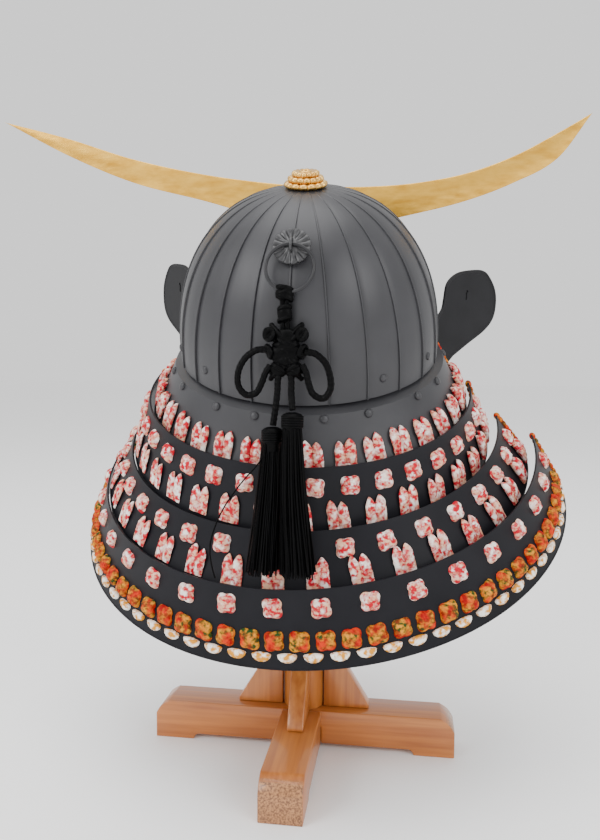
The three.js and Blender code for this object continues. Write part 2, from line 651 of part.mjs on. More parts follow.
// Bound head with a skirt of locks fused to it.
function tasselGeometry({ head, fall }) {
  const [x, y, z] = head;
  const { head_radius, neck_radius, head_length, locks, lock_top, lock_foot } = TASSEL;
  const profile = [
    [0, 0], [neck_radius, 0], [head_radius, -2.5], [head_radius, -head_length + 3], [head_radius - 1.4, -head_length],
    [head_radius - 1.4, -head_length - 6], [0, -head_length - 6],
  ].map(([radius, height]) => new THREE.Vector2(radius, height)).reverse();
  const bound = new THREE.LatheGeometry(profile, 12).rotateX(Math.PI / 2).translate(x, y, z);
  const pieces = [bound];
  for (let lock = 0; lock <= locks; lock++) {
    const angle = (2 * Math.PI * lock) / locks;
    const sections = fall.map((place, level) => {
      const ring = lock < locks ? TASSEL_RING[level].radius : 0;
      const thick = [lock_top, (lock_top + lock_foot) / 2, lock_foot][level];
      const centre = [place.x + ring * Math.cos(angle), place.y + ring * 0.8 * Math.sin(angle), z - place.down];
      return Array.from({ length: 6 }, (_, i) => {
        const turn = (Math.PI * i) / 3;
        return new THREE.Vector3(centre[0] + thick * Math.cos(turn), centre[1] + thick * Math.sin(turn), centre[2]);
      });
    });
    pieces.push(loft(sections));
  }
  return join(pieces);
}

function buildCord() {
  const cord = new THREE.Group();
  const ringClearance = posed(new THREE.Group(), BOWL_POSE);
  ringClearance.updateMatrixWorld(true);
  const ringRoom = ringGeometry(RING.wire + GAP).applyMatrix4(ringClearance.matrixWorld);
  addMesh(cord, 'cord_knot_top', cut(lump(KNOT_TOP.size, KNOT_TOP.centre), [ringRoom]), cordBlack);
  addMesh(cord, 'cord_knot_middle', lump(KNOT_MIDDLE.size, KNOT_MIDDLE.centre), cordBlack);
  addMesh(cord, 'cord_knot_main', mainKnotGeometry(0), cordBlack);
  const knotRoom = mainKnotGeometry(GAP);
  for (const { name, points, steps } of CORD_RUNS) {
    addMesh(cord, name, cut(tubeGeometry(points, steps), [knotRoom]), cordBlack);
  }
  for (const tassel of TASSELS) {
    addMesh(cord, tassel.name, tasselGeometry(tassel), cordBlack);
  }
  return cord;
}

// ---- assembly: the middle of its footprint without the cord is at the origin ----
const assembly = new THREE.Group();
assembly.add(buildStand(), buildBowl(), buildNeckGuard(), buildCrest(), buildTurnBacks());
const middle = new THREE.Box3().setFromObject(assembly, true).getCenter(new THREE.Vector3());
assembly.add(buildCord());
assembly.position.set(-middle.x, -middle.y, 0);
export default assembly;
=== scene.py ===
import math
import random

import bmesh
import bpy
from mathutils import Matrix, Vector, noise
from mathutils.geometry import tessellate_polygon


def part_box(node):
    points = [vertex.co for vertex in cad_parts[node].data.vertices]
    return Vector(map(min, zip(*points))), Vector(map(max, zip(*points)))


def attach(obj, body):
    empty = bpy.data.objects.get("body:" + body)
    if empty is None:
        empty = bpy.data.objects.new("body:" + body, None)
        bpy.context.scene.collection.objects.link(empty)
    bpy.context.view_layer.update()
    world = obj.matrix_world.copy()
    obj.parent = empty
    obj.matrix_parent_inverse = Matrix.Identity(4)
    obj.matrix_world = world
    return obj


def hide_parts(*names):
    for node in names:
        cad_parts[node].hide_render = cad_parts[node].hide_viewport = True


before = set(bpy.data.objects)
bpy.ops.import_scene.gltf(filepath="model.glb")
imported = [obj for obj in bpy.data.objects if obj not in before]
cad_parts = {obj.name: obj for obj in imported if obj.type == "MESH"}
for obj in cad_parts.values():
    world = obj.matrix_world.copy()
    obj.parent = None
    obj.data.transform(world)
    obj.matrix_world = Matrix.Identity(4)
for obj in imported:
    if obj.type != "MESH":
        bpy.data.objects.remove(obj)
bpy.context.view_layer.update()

# ---- camera, floor and light ----
# The helmet stands on a plain white floor with its neck guard towards the viewer, under large soft lamps.
# Everything is placed from the middle of the stand's post, in millimetres turned into metres.
post_low, post_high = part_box("stand_post")
STAND_MIDDLE = Vector(((post_low.x + post_high.x) / 2, (post_low.y + post_high.y) / 2, 0))


def place(x, y, z):
    return STAND_MIDDLE + Vector((x, y, z)) / 1000


CAMERA_FROM = place(-89.3, 680.8, 348.5)
CAMERA_LOOKS = Vector((0.1379, -0.9876, -0.0750))
CAMERA_ROLL = math.radians(0.40)
camera = bpy.data.objects.new("camera", bpy.data.cameras.new("camera"))
camera.data.sensor_width = 36
camera.data.lens = 32.7
camera.data.clip_start = 0.01
turn = CAMERA_LOOKS.to_track_quat("-Z", "Y").to_matrix().to_4x4() @ Matrix.Rotation(CAMERA_ROLL, 4, "Z")
camera.matrix_world = Matrix.Translation(CAMERA_FROM) @ turn
bpy.context.scene.collection.objects.link(camera)
bpy.context.scene.camera = camera

floor_mesh = bpy.data.meshes.new("floor")
reach = 12
floor_mesh.from_pydata([(-reach, -reach, 0), (reach, -reach, 0), (reach, reach, 0), (-reach, reach, 0)], [], [(0, 1, 2, 3)])
floor = bpy.data.objects.new("floor", floor_mesh)
floor_paint = bpy.data.materials.new("floor_paint")
floor_paint.use_nodes = True
floor_paint.node_tree.nodes["Principled BSDF"].inputs["Base Color"].default_value = (0.97, 0.97, 0.97, 1)
floor_paint.node_tree.nodes["Principled BSDF"].inputs["Roughness"].default_value = 0.8
floor_mesh.materials.append(floor_paint)
bpy.context.scene.collection.objects.link(floor)

world = bpy.data.worlds.new("studio")
bpy.context.scene.world = world
world.use_nodes = True
world.node_tree.nodes["Background"].inputs["Color"].default_value = (1, 1, 1, 1)
world.node_tree.nodes["Background"].inputs["Strength"].default_value = 1.15
for name, at, size, power in [
    ("lamp_left", (1.7, 1.6, 1.5), 1.2, 34),
    ("lamp_right", (-1.9, 1.5, 1.3), 1.2, 26),
    ("lamp_top", (0.1, 0.3, 2.2), 1.6, 30),
]:
    lamp = bpy.data.objects.new(name, bpy.data.lights.new(name, "AREA"))
    lamp.data.size = size
    lamp.data.energy = power
    lamp.location = at
    lamp.rotation_euler = (Vector((0, 0, 0.3)) - Vector(at)).to_track_quat("-Z", "Y").to_euler()
    bpy.context.scene.collection.objects.link(lamp)

# ---- cord ----
# Black rayon cord, eight-strand braid about 4 mm thick. It hangs from the ring in an agemaki knot:
# two side loops, and two legs that end in tassels.
CORD = 0.0042
BRAID_STRANDS = 8
BRAID_LAY = 0.0036  # length of one crossing


def grid_faces(rows, columns, close_rows=False, close_columns=True):
    faces = []
    for r in range(rows if close_rows else rows - 1):
        for c in range(columns if close_columns else columns - 1):
            low, high = r * columns, (r + 1) % rows * columns
            after = (c + 1) % columns
            faces.append((low + c, low + after, high + after, high + c))
    return faces


def make_piece(name, parts, material, nodes=(), crease=40):
    """One mesh from parts of vertices and faces, in the part's frame, riding on its only body."""
    vertices, faces = [], []
    for part_vertices, part_faces in parts:
        start = len(vertices)
        vertices.extend(part_vertices)
        faces.extend(tuple(start + i for i in face) for face in part_faces)
    mesh = bpy.data.meshes.new(name)
    mesh.from_pydata([tuple(v) for v in vertices], [], faces)
    shape = bmesh.new()
    shape.from_mesh(mesh)
    bmesh.ops.recalc_face_normals(shape, faces=shape.faces)
    shape.to_mesh(mesh)
    shape.free()
    mesh.shade_smooth()
    mesh.set_sharp_from_angle(angle=math.radians(crease))
    mesh.materials.append(material)
    piece = bpy.data.objects.new(name, mesh)
    bpy.context.scene.collection.objects.link(piece)
    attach(piece, "root")
    if nodes:
        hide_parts(*nodes)
    return piece


def smooth_path(points, step):
    """Points every step or so along a centripetal curve through the given ones."""
    path = []
    for i in range(len(points) - 1):
        a, b = points[max(i - 1, 0)], points[i]
        c, d = points[i + 1], points[min(i + 2, len(points) - 1)]
        if i == 0:
            a = b + (b - c)
        if i == len(points) - 2:
            d = c + (c - b)
        count = max(2, round((c - b).length / step))
        for k in range(count):
            t = k / count
            path.append(
                ((b * 2) + (c - a) * t + (a * 2 - b * 5 + c * 4 - d) * t * t + (b * 3 - a - c * 3 + d) * t**3) / 2
            )
    path.append(points[-1].copy())
    return path


def tube(path, radius, sides, relief=None, squash=1):
    """Closed tube along a path; relief gives the outward bulge at an angle and a distance along it."""
    vertices, travelled = [], 0
    direction = (path[1] - path[0]).normalized()
    side = direction.orthogonal().normalized()
    for i, point in enumerate(path):
        ahead, behind = path[min(i + 1, len(path) - 1)], path[max(i - 1, 0)]
        direction = (ahead - behind).normalized()
        side = (side - direction * side.dot(direction)).normalized()
        other = direction.cross(side)
        if i:
            travelled += (point - path[i - 1]).length
        for s in range(sides):
            angle = math.tau * s / sides
            bulge = radius + (relief(angle, travelled) if relief else 0)
            vertices.append(point + side * bulge * math.cos(angle) + other * bulge * squash * math.sin(angle))
    faces = grid_faces(len(path), sides)
    last = (len(path) - 1) * sides
    faces.append(tuple(range(sides - 1, -1, -1)))
    faces.append(tuple(last + s for s in range(sides)))
    return vertices, faces


def braid_relief(depth):
    def relief(angle, along):
        lay = math.pi * along / BRAID_LAY
        turns = BRAID_STRANDS / 2 * angle
        return depth * (math.cos(turns + lay) * math.cos(turns - lay))
    return relief


# Effect: noise that mixes two colours, with the same noise as a height for bumps.
mottle = bpy.data.node_groups.new("mottle", "ShaderNodeTree")
for label, kind, start in [
    ("Dark", "NodeSocketColor", (0.1, 0.1, 0.1, 1)), ("Light", "NodeSocketColor", (0.2, 0.2, 0.2, 1)),
    ("Scale", "NodeSocketFloat", 60.0), ("Stretch", "NodeSocketVector", (1, 1, 1)),
    ("Contrast", "NodeSocketFloat", 1.0),
]:
    mottle.interface.new_socket(label, in_out="INPUT", socket_type=kind).default_value = start
mottle.interface.new_socket("Colour", in_out="OUTPUT", socket_type="NodeSocketColor")
mottle.interface.new_socket("Mask", in_out="OUTPUT", socket_type="NodeSocketFloat")
given = mottle.nodes.new("NodeGroupInput")
result = mottle.nodes.new("NodeGroupOutput")
where = mottle.nodes.new("ShaderNodeTexCoord")
stretch = mottle.nodes.new("ShaderNodeVectorMath")
stretch.operation = "MULTIPLY"
cloud = mottle.nodes.new("ShaderNodeTexNoise")
cloud.inputs["Detail"].default_value = 5
sharpen = mottle.nodes.new("ShaderNodeMapRange")
span = mottle.nodes.new("ShaderNodeMath")
span.operation = "DIVIDE"
span.inputs[0].default_value = 0.25
low_end = mottle.nodes.new("ShaderNodeMath")
low_end.operation = "SUBTRACT"
low_end.inputs[0].default_value = 0.5
high_end = mottle.nodes.new("ShaderNodeMath")
high_end.operation = "ADD"
high_end.inputs[0].default_value = 0.5
blend = mottle.nodes.new("ShaderNodeMix")
blend.data_type = "RGBA"
tie = mottle.links.new
tie(where.outputs["Object"], stretch.inputs[0])
tie(given.outputs["Stretch"], stretch.inputs[1])
tie(stretch.outputs[0], cloud.inputs["Vector"])
tie(given.outputs["Scale"], cloud.inputs["Scale"])
tie(given.outputs["Contrast"], span.inputs[1])
tie(span.outputs[0], low_end.inputs[1])
tie(span.outputs[0], high_end.inputs[1])
tie(cloud.outputs["Fac"], sharpen.inputs["Value"])
tie(low_end.outputs[0], sharpen.inputs["From Min"])
tie(high_end.outputs[0], sharpen.inputs["From Max"])
tie(sharpen.outputs["Result"], blend.inputs["Factor"])
tie(given.outputs["Dark"], blend.inputs[6])
tie(given.outputs["Light"], blend.inputs[7])
tie(blend.outputs[2], result.inputs["Colour"])
tie(sharpen.outputs["Result"], result.inputs["Mask"])


def finish(name, metallic, coat=0.0):
    """A new material: its tree and its Principled shader."""
    material = bpy.data.materials.new(name)
    material.use_nodes = True
    tree = material.node_tree
    shader = tree.nodes["Principled BSDF"]
    shader.inputs["Metallic"].default_value = metallic
    shader.inputs["Coat Weight"].default_value = coat
    return material, tree, shader


def add_mottle(tree, dark, light, scale, stretch=(1, 1, 1), contrast=1.0):
    node = tree.nodes.new("ShaderNodeGroup")
    node.node_tree = mottle
    node.inputs["Dark"].default_value = (*dark, 1)
    node.inputs["Light"].default_value = (*light, 1)
    node.inputs["Scale"].default_value = scale
    node.inputs["Stretch"].default_value = stretch
    node.inputs["Contrast"].default_value = contrast
    return node


def add_roughness(tree, shader, mask, low, high):
    node = tree.nodes.new("ShaderNodeMapRange")
    node.inputs["To Min"].default_value = low
    node.inputs["To Max"].default_value = high
    tree.links.new(mask, node.inputs["Value"])
    tree.links.new(node.outputs["Result"], shader.inputs["Roughness"])


def add_bump(tree, shader, height, strength, distance):
    node = tree.nodes.new("ShaderNodeBump")
    node.inputs["Strength"].default_value = strength
    node.inputs["Distance"].default_value = distance
    tree.links.new(height, node.inputs["Height"])
    tree.links.new(node.outputs["Normal"], shader.inputs["Normal"])


cord_rayon, tree, shader = finish("cord_rayon", 0.0)
thread = add_mottle(tree, (0.0004, 0.0004, 0.0005), (0.0016, 0.0016, 0.0019), 900)
tree.links.new(thread.outputs["Colour"], shader.inputs["Base Color"])
add_roughness(tree, shader, thread.outputs["Mask"], 0.3, 0.5)
add_bump(tree, shader, thread.outputs["Mask"], 0.4, 0.0003)
shader.inputs["Specular IOR Level"].default_value = 0.06

LOOP_LEFT = [
    (8.6, 150.5, 357.5), (16, 151, 357), (24, 151, 351.5), (29, 151, 342), (29, 151, 332),
    (23.5, 151, 325.6), (16.2, 151, 327), (12, 151, 334.5), (9.5, 151, 341), (6, 150.8, 346.5),
]
LOOP_RIGHT = [
    (-18.4, 150.5, 356), (-26, 151, 354.5), (-33, 151, 348), (-36.5, 151, 338), (-36.4, 151, 329.5),
    (-31.5, 151, 323.6), (-24.5, 151, 326.5), (-21.2, 151, 334), (-19.4, 151, 341), (-16.5, 150.8, 347),
]
LEG_LEFT = [(-1.5, 150.6, 348), (0.6, 151, 336.4), (0.8, 151.8, 328), (2, 152.6, 316), (3.6, 153.2, 304.1)]
LEG_RIGHT = [(-7, 150.6, 348), (-8.9, 151, 336.4), (-9.2, 152.6, 329), (-10, 155.4, 323), (-10.8, 157.6, 315.6)]
cords = {}
for name, route in [
    ("cord_loop_left", LOOP_LEFT), ("cord_loop_right", LOOP_RIGHT),
    ("cord_leg_left", LEG_LEFT), ("cord_leg_right", LEG_RIGHT),
]:
    line = smooth_path([place(*point) for point in route], 0.0004)
    parts = [tube(line, CORD / 2 + 0.0001, 24, braid_relief(0.00024))]
    piece = make_piece(name + "_braid", parts, cord_rayon, [name])
    length = sum((b - a).length for a, b in zip(line, line[1:]))
    cords[name] = (piece, line, length)

# ---- knots on the cord ----
# Three knots tied in the doubled cord: two small ones under the ring, and the wide agemaki knot,
# whose strands cross over and under each other.
KNOT_TOP = ((-3.4, 148, 396.6), (13.4, 9, 11))
KNOT_MIDDLE = ((-3.6, 148.4, 382.6), (10.6, 9, 14))
MAIN_KNOT_CENTRE = (-4.9, 150.2, 355)
MAIN_KNOT_LOBES = [
    (11.5, 13, (9.5, 8, 10.5)), (-11.5, 13, (9.5, 8, 10.5)), (0, 11.5, (17, 8.6, 12)), (0, 5.5, (20, 8.6, 10)),
    (0, 0, (28, 8.6, 14)), (0, -5.5, (19, 8.6, 10)), (5, -11, (13.5, 8.6, 12.5)), (-5, -11, (13.5, 8.6, 12.5)),
]


def lump(centre, size, rings=10, sides=16):
    vertices = []
    for r in range(rings + 1):
        polar = math.pi * r / rings
        for s in range(sides):
            angle = math.tau * s / sides
            x, y = math.sin(polar) * math.cos(angle), math.sin(polar) * math.sin(angle)
            vertices.append(place(*(c + d / 2 * v for c, d, v in zip(centre, size, (x, y, math.cos(polar))))))
    return vertices, grid_faces(rings + 1, sides)


def ring_path(centre, width, height, depth, lean, twist=0.0, steps=40):
    """Closed path round a lump: an ellipse whose plane leans, its front towards +Y."""
    path = []
    for i in range(steps + 1):
        angle = math.tau * i / steps
        x, y = width / 2 * math.cos(angle), depth / 2 * math.sin(angle)
        z = height * math.sin(angle + twist)
        path.append(place(centre[0] + x * math.cos(lean) - z * math.sin(lean), centre[1] + y,
                          centre[2] + x * math.sin(lean) + z * math.cos(lean)))
    return path


strand = CORD / 2 - 0.0002
parts = [lump(*KNOT_TOP)]
for rise, lean in [(-2.8, 0.25), (0.6, -0.3), (3.4, 0.2)]:
    centre = (KNOT_TOP[0][0], KNOT_TOP[0][1], KNOT_TOP[0][2] + rise)
    parts.append(tube(ring_path(centre, 9.6, 0.8, 5.6, lean), strand, 12, braid_relief(0.0002)))
knot_top = make_piece("cord_knot_top_strands", parts, cord_rayon, ["cord_knot_top"])
parts = [lump(*KNOT_MIDDLE)]
for rise, lean in [(-4.2, -0.3), (-0.4, 0.35), (3.8, -0.25)]:
    centre = (KNOT_MIDDLE[0][0], KNOT_MIDDLE[0][1], KNOT_MIDDLE[0][2] + rise)
    parts.append(tube(ring_path(centre, 7.4, 0.8, 5.6, lean), strand, 12, braid_relief(0.0002)))
knot_middle = make_piece("cord_knot_middle_strands", parts, cord_rayon, ["cord_knot_middle"])

parts = []
for x, z, size in MAIN_KNOT_LOBES:
    centre = (MAIN_KNOT_CENTRE[0] + x, MAIN_KNOT_CENTRE[1], MAIN_KNOT_CENTRE[2] + z)
    parts.append(lump(centre, size))
for slope in (-1, 1):
    for shift in (-13, -6.5, 0, 6.5, 13):
        route = []
        for k in range(15):
            along = (k / 14 - 0.5) * (30 - 0.85 * abs(shift))
            x = along * 0.72 + shift * slope * 0.34
            z = along * 0.72 * slope + shift * 0.95
            arch = 5.2 * max(0.0, 1 - (abs(k - 7) / 7.4) ** 2.4)
            weave = 0.9 * math.cos(math.pi * (along / 7 + (0 if slope > 0 else 1)))
            route.append(place(MAIN_KNOT_CENTRE[0] + x, MAIN_KNOT_CENTRE[1] - 3.2 + arch + weave,
                               MAIN_KNOT_CENTRE[2] + z + 1))
        parts.append(tube(smooth_path(route, 0.0006), strand * 0.92, 12, braid_relief(0.0002)))
for side in (-1, 1):
    ear = (MAIN_KNOT_CENTRE[0] + side * 11.5, MAIN_KNOT_CENTRE[1] + 0.4, MAIN_KNOT_CENTRE[2] + 13)
    ring = []
    for i in range(33):
        angle = math.tau * i / 32
        ring.append(place(ear[0] + 3 * math.cos(angle), ear[1] + 2.2 + 1.2 * math.sin(angle * 2), ear[2] + 3.6 * math.sin(angle)))
    parts.append(tube(ring, strand, 12, braid_relief(0.0002)))
    hole = (MAIN_KNOT_CENTRE[0] + side * 12, MAIN_KNOT_CENTRE[1] + 0.6, MAIN_KNOT_CENTRE[2] + 1)
    parts.append(tube(ring_path(hole, 8, 1.4, 6.4, side * 1.2), strand, 12, braid_relief(0.0002)))
    stem = [place(-3.5 + side * 1.7, 148.3, 392), place(-3.7 + side * 1.6, 148.6, 380), place(-4.6 + side * 2, 149.6, 362)]
    parts.append(tube(smooth_path(stem, 0.0006), strand * 0.92, 12, braid_relief(0.0002)))
    foot = (MAIN_KNOT_CENTRE[0] + side * 5.2, MAIN_KNOT_CENTRE[1] + 0.6, MAIN_KNOT_CENTRE[2] - 11)
    parts.append(tube(ring_path(foot, 8.6, 1.2, 6.4, side * 0.5), strand, 12, braid_relief(0.0002)))
knot_main = make_piece("cord_knot_main_strands", parts, cord_rayon, ["cord_knot_main"])

# ---- tassels ----
# Each leg ends in a bound head from which a skirt of thin twisted cords falls. The strands are cut
# nearly level, and one has strayed to the side.
TASSELS = [
    ("tassel_left", (3.9, 153.4, 303.2), [(10, 4.2, 154), (50, 6.2, 156.6), (104, 9.2, 163)]),
    ("tassel_right", (-11, 158.6, 314), [(10, -11.2, 160), (55, -12.6, 162), (115, -17, 164.6)]),
]
STRANDS = 120
rng = random.Random(7)
tassels = {}
for name, head, fall in TASSELS:
    parts = []
    profile = [(0.4, 0.2), (3.6, 0), (6.4, -1.2), (7.4, -3), (7.5, -8.5), (6.9, -10.5), (6.2, -12), (6.2, -17), (0.4, -17)]
    vertices = [
        place(head[0] + r * math.cos(math.tau * s / 24), head[1] + r * math.sin(math.tau * s / 24), head[2] + z)
        for r, z in profile for s in range(24)
    ]
    parts.append((vertices, grid_faces(len(profile), 24)))
    for turn_at in range(5):
        wrap = [
            place(head[0] + 7.1 * math.cos(math.tau * s / 28), head[1] + 7.1 * math.sin(math.tau * s / 28),
                  head[2] - 3 - turn_at * 1.7)
            for s in range(29)
        ]
        parts.append(tube(wrap, 0.0009, 8))
    for s in range(STRANDS):
        angle, out = rng.uniform(0, math.tau), math.sqrt(rng.uniform(0.12, 1))
        sway, shorter = rng.uniform(-1, 1), rng.uniform(0, 5)
        route = [place(head[0] + 5.6 * out * math.cos(angle), head[1] + 5.2 * out * math.sin(angle), head[2] - 9)]
        for level, (down, x, y) in enumerate(fall):
            spread = (6.6, 9.2, 11.3)[level] * out
            wander = 0.8 * level
            drop = down if level < 2 else down - shorter
            route.append(place(
                x + spread * math.cos(angle) + wander * rng.uniform(-1, 1) + sway * level * 0.4,
                y + spread * 0.78 * math.sin(angle) + 0.4 * level * rng.uniform(-1, 1),
                head[2] - drop,
            ))
        parts.append(tube(smooth_path(route, 0.008), 0.00062, 5))
    if name == "tassel_left":
        stray = [(6, 153, 292), (12, 158, 279), (26, 163, 262), (38, 167, 243), (45, 169, 222), (44, 170, 208), (41, 171, 198)]
        parts.append(tube(smooth_path([place(*point) for point in stray], 0.006), 0.0006, 6))
    tassels[name] = make_piece(name + "_strands", parts, cord_rayon, [name], crease=60)

for name, far, beads in [
    ("cord_loop_left", "knot", [knot_top, knot_middle, knot_main]),
    ("cord_loop_right", "object", []),
    ("cord_leg_left", "object", []),
    ("cord_leg_right", "object", []),
]:
    piece, line, length = cords[name]

# ---- stand ----
# Varnished softwood: two square arms halved together in the middle, with raised ends for feet, a round
# post with a turned cap, and four tapered braces glued into the corners.
TIMBER = 35
ARM_HALF = 136.5
FOOT_LENGTH, FOOT_LIFT = 36, 4.9
END_RUN, END_DROP = 12.8, 12.3
LAP = 17.8


def make_wood(name, grain_along):
    """Wood whose grain runs along one axis: 0, 1 or 2."""
    material, tree, shader = finish(name, 0.0, 0.35)
    stretch = [1.0, 1.0, 1.0]
    stretch[grain_along] = 0.05
    fibres = add_mottle(tree, (0.38, 0.105, 0.02), (0.66, 0.24, 0.05), 210, stretch, 0.9)
    streaks = add_mottle(tree, (0.62, 0.55, 0.46), (1, 1, 1), 34, stretch, 1.1)
    across = tree.nodes.new("ShaderNodeMix")
    across.data_type = "RGBA"
    across.blend_type = "MULTIPLY"
    across.inputs["Factor"].default_value = 0.75
    tree.links.new(fibres.outputs["Colour"], across.inputs[6])
    tree.links.new(streaks.outputs["Colour"], across.inputs[7])
    specks = add_mottle(tree, (0.16, 0.06, 0.02), (0.45, 0.2, 0.07), 620, (1, 1, 1), 2.2)
    facing = tree.nodes.new("ShaderNodeNewGeometry")
    split = tree.nodes.new("ShaderNodeSeparateXYZ")
    tree.links.new(facing.outputs["True Normal"], split.inputs[0])
    strength = tree.nodes.new("ShaderNodeMath")
    strength.operation = "ABSOLUTE"
    tree.links.new(split.outputs[grain_along], strength.inputs[0])
    step = tree.nodes.new("ShaderNodeMapRange")
    step.inputs["From Min"].default_value = 0.55
    step.inputs["From Max"].default_value = 0.75
    tree.links.new(strength.outputs[0], step.inputs["Value"])
    ends = tree.nodes.new("ShaderNodeMix")
    ends.data_type = "RGBA"
    tree.links.new(step.outputs["Result"], ends.inputs["Factor"])
    tree.links.new(across.outputs[2], ends.inputs[6])
    tree.links.new(specks.outputs["Colour"], ends.inputs[7])
    tree.links.new(ends.outputs[2], shader.inputs["Base Color"])
    add_roughness(tree, shader, fibres.outputs["Mask"], 0.3, 0.48)
    add_bump(tree, shader, fibres.outputs["Mask"], 0.25, 0.0004)
    return material


wood_side = make_wood("wood_side", 0)
wood_front = make_wood("wood_front", 1)
wood_post = make_wood("wood_post", 2)


def slab(outline, low, high, set_place):
    """Plate of an outline in two directions, between two levels of the third."""
    count = len(outline)
    vertices = [set_place(a, b, level) for level in (low, high) for a, b in outline]
    triangles = tessellate_polygon([[Vector((a, b, 0)) for a, b in outline]])
    faces = [tuple(reversed(t)) for t in triangles] + [tuple(count + i for i in t) for t in triangles]
    faces += [(i, (i + 1) % count, count + (i + 1) % count, count + i) for i in range(count)]
    return vertices, faces


def round_edges(piece, width, segments=2, angle=35):
    """Rounds the sharp edges of a finished mesh."""
    shape = bmesh.new()
    shape.from_mesh(piece.data)
    bmesh.ops.dissolve_limit(shape, angle_limit=0.01, verts=shape.verts, edges=shape.edges)
    sharp = [e for e in shape.edges if len(e.link_faces) == 2 and e.calc_face_angle(0) > math.radians(angle)]
    bmesh.ops.bevel(shape, geom=sharp, offset=width, segments=segments, affect="EDGES", profile=0.5)
    bmesh.ops.triangulate(shape, faces=[f for f in shape.faces if len(f.verts) > 4])
    shape.to_mesh(piece.data)
    shape.free()
    piece.data.shade_smooth()
    piece.data.set_sharp_from_angle(angle=math.radians(50))


def arm_outline(notch_top):
    inner = ARM_HALF - FOOT_LENGTH
    line = [(-ARM_HALF, 0), (-inner, 0)]
    for k in range(1, 6):
        a = math.pi / 2 * k / 5
        line.append((-inner + FOOT_LIFT * (1 - math.cos(a)), FOOT_LIFT * math.sin(a)))
    if not notch_top:
        line += [(-LAP, FOOT_LIFT), (-LAP, 20.1), (LAP, 20.1), (LAP, FOOT_LIFT)]
    for k in range(5, -1, -1):
        a = math.pi / 2 * k / 5
        line.append((inner - FOOT_LIFT * (1 - math.cos(a)), FOOT_LIFT * math.sin(a)))
    line += [(ARM_HALF, 0), (ARM_HALF, TIMBER - END_DROP)]
    for k in range(1, 6):
        t = k / 6
        line.append((ARM_HALF - END_RUN * t + 1.6 * math.sin(math.pi * t) * 0.8,
                     TIMBER - END_DROP * (1 - t) + 1.6 * math.sin(math.pi * t) * 0.8))
    line.append((ARM_HALF - END_RUN, TIMBER))
    if notch_top:
        line += [(LAP, TIMBER), (LAP, 19.8), (-LAP, 19.8), (-LAP, TIMBER)]
    line.append((-ARM_HALF + END_RUN, TIMBER))
    for k in range(5, 0, -1):
        t = k / 6
        line.append((-ARM_HALF + END_RUN * t - 1.6 * math.sin(math.pi * t) * 0.8,
                     TIMBER - END_DROP * (1 - t) + 1.6 * math.sin(math.pi * t) * 0.8))
    line.append((-ARM_HALF, TIMBER - END_DROP))
    return line


half = TIMBER / 2
arm_side = make_piece("arm_side", [slab(arm_outline(False), -half, half, lambda a, b, c: place(a, c, b))],
                      wood_side, ["stand_arm_side"])
arm_front = make_piece("arm_front", [slab(arm_outline(True), -half, half, lambda a, b, c: place(c, a, b))],
                       wood_front, ["stand_arm_front"])
round_edges(arm_side, 0.0009)
round_edges(arm_front, 0.0009)

post_profile = [
    (0.4, 35.3), (18, 35.3), (18.4, 35.8), (18.4, 446), (19.2, 448.4), (27, 449), (28, 450.2), (28, 458.6),
    (27.4, 460.6), (25.6, 462.3), (22.5, 463), (0.4, 463),
]
vertices = [place(r * math.cos(math.tau * s / 64), r * math.sin(math.tau * s / 64), z)
            for r, z in post_profile for s in range(64)]
make_piece("post", [(vertices, grid_faces(len(post_profile), 64))], wood_post, ["stand_post"])
brace_outline = [(18.8, 35.3), (60, 35.3), (60, 38.3), (58.6, 40.4), (20.4, 102.2), (18.8, 103.3)]
for name, angle in [("left", 0), ("back", 90), ("right", 180), ("front", 270)]:
    along, across = Matrix.Rotation(math.radians(angle), 3, "Z") @ Vector((1, 0, 0)), None
    across = Vector((-along.y, along.x, 0))
    brace = make_piece("brace_" + name, [slab(brace_outline, -7, 7, lambda a, b, c: place(*(along * a + across * c)[:2], b))],
                       wood_post, ["stand_brace_" + name])
    round_edges(brace, 0.0008)

# ---- bowl ----
# Twenty-three tapered steel plates riveted into a bowl. Each plate's edge is turned up into a thin
# standing ridge that runs from the rim to the crown. Russet lacquer, satin and nearly black.
RIM_CENTRE = Vector((-5, 24.5, 361))


def leaning(tilt, lean, turned_by, aside):
    """Takes millimetres about the bowl's rim centre to the part's frame."""
    return (
        Matrix.Translation(place(RIM_CENTRE.x + aside, RIM_CENTRE.y, RIM_CENTRE.z))
        @ Matrix.Rotation(math.radians(turned_by), 4, "Z")
        @ Matrix.Rotation(math.radians(lean), 4, "Y")
        @ Matrix.Rotation(math.radians(tilt), 4, "X")
        @ Matrix.Scale(0.001, 4)
    )


BOWL_POSE = leaning(-24, -1.7, 0, 0)
MIDDLE_POSE = leaning(-25, 0.2, -3, 1.2)
LOWEST_POSE = leaning(-25, 1.4, -4.6, 2)
BOWL_RADIUS, BOWL_HEIGHT, BOWL_POWER, PLATES = 108.5, 136, 2.3, 23


def bowl_radius(h):
    return BOWL_RADIUS * max(0.0, 1 - (h / BOWL_HEIGHT) ** BOWL_POWER) ** (1 / BOWL_POWER)


def around(pose, radius, angle, height):
    """Point at an angle in degrees from straight back, towards the helmet's left."""
    a = math.radians(angle)
    return pose @ Vector((radius * math.sin(a), radius * math.cos(a), height))


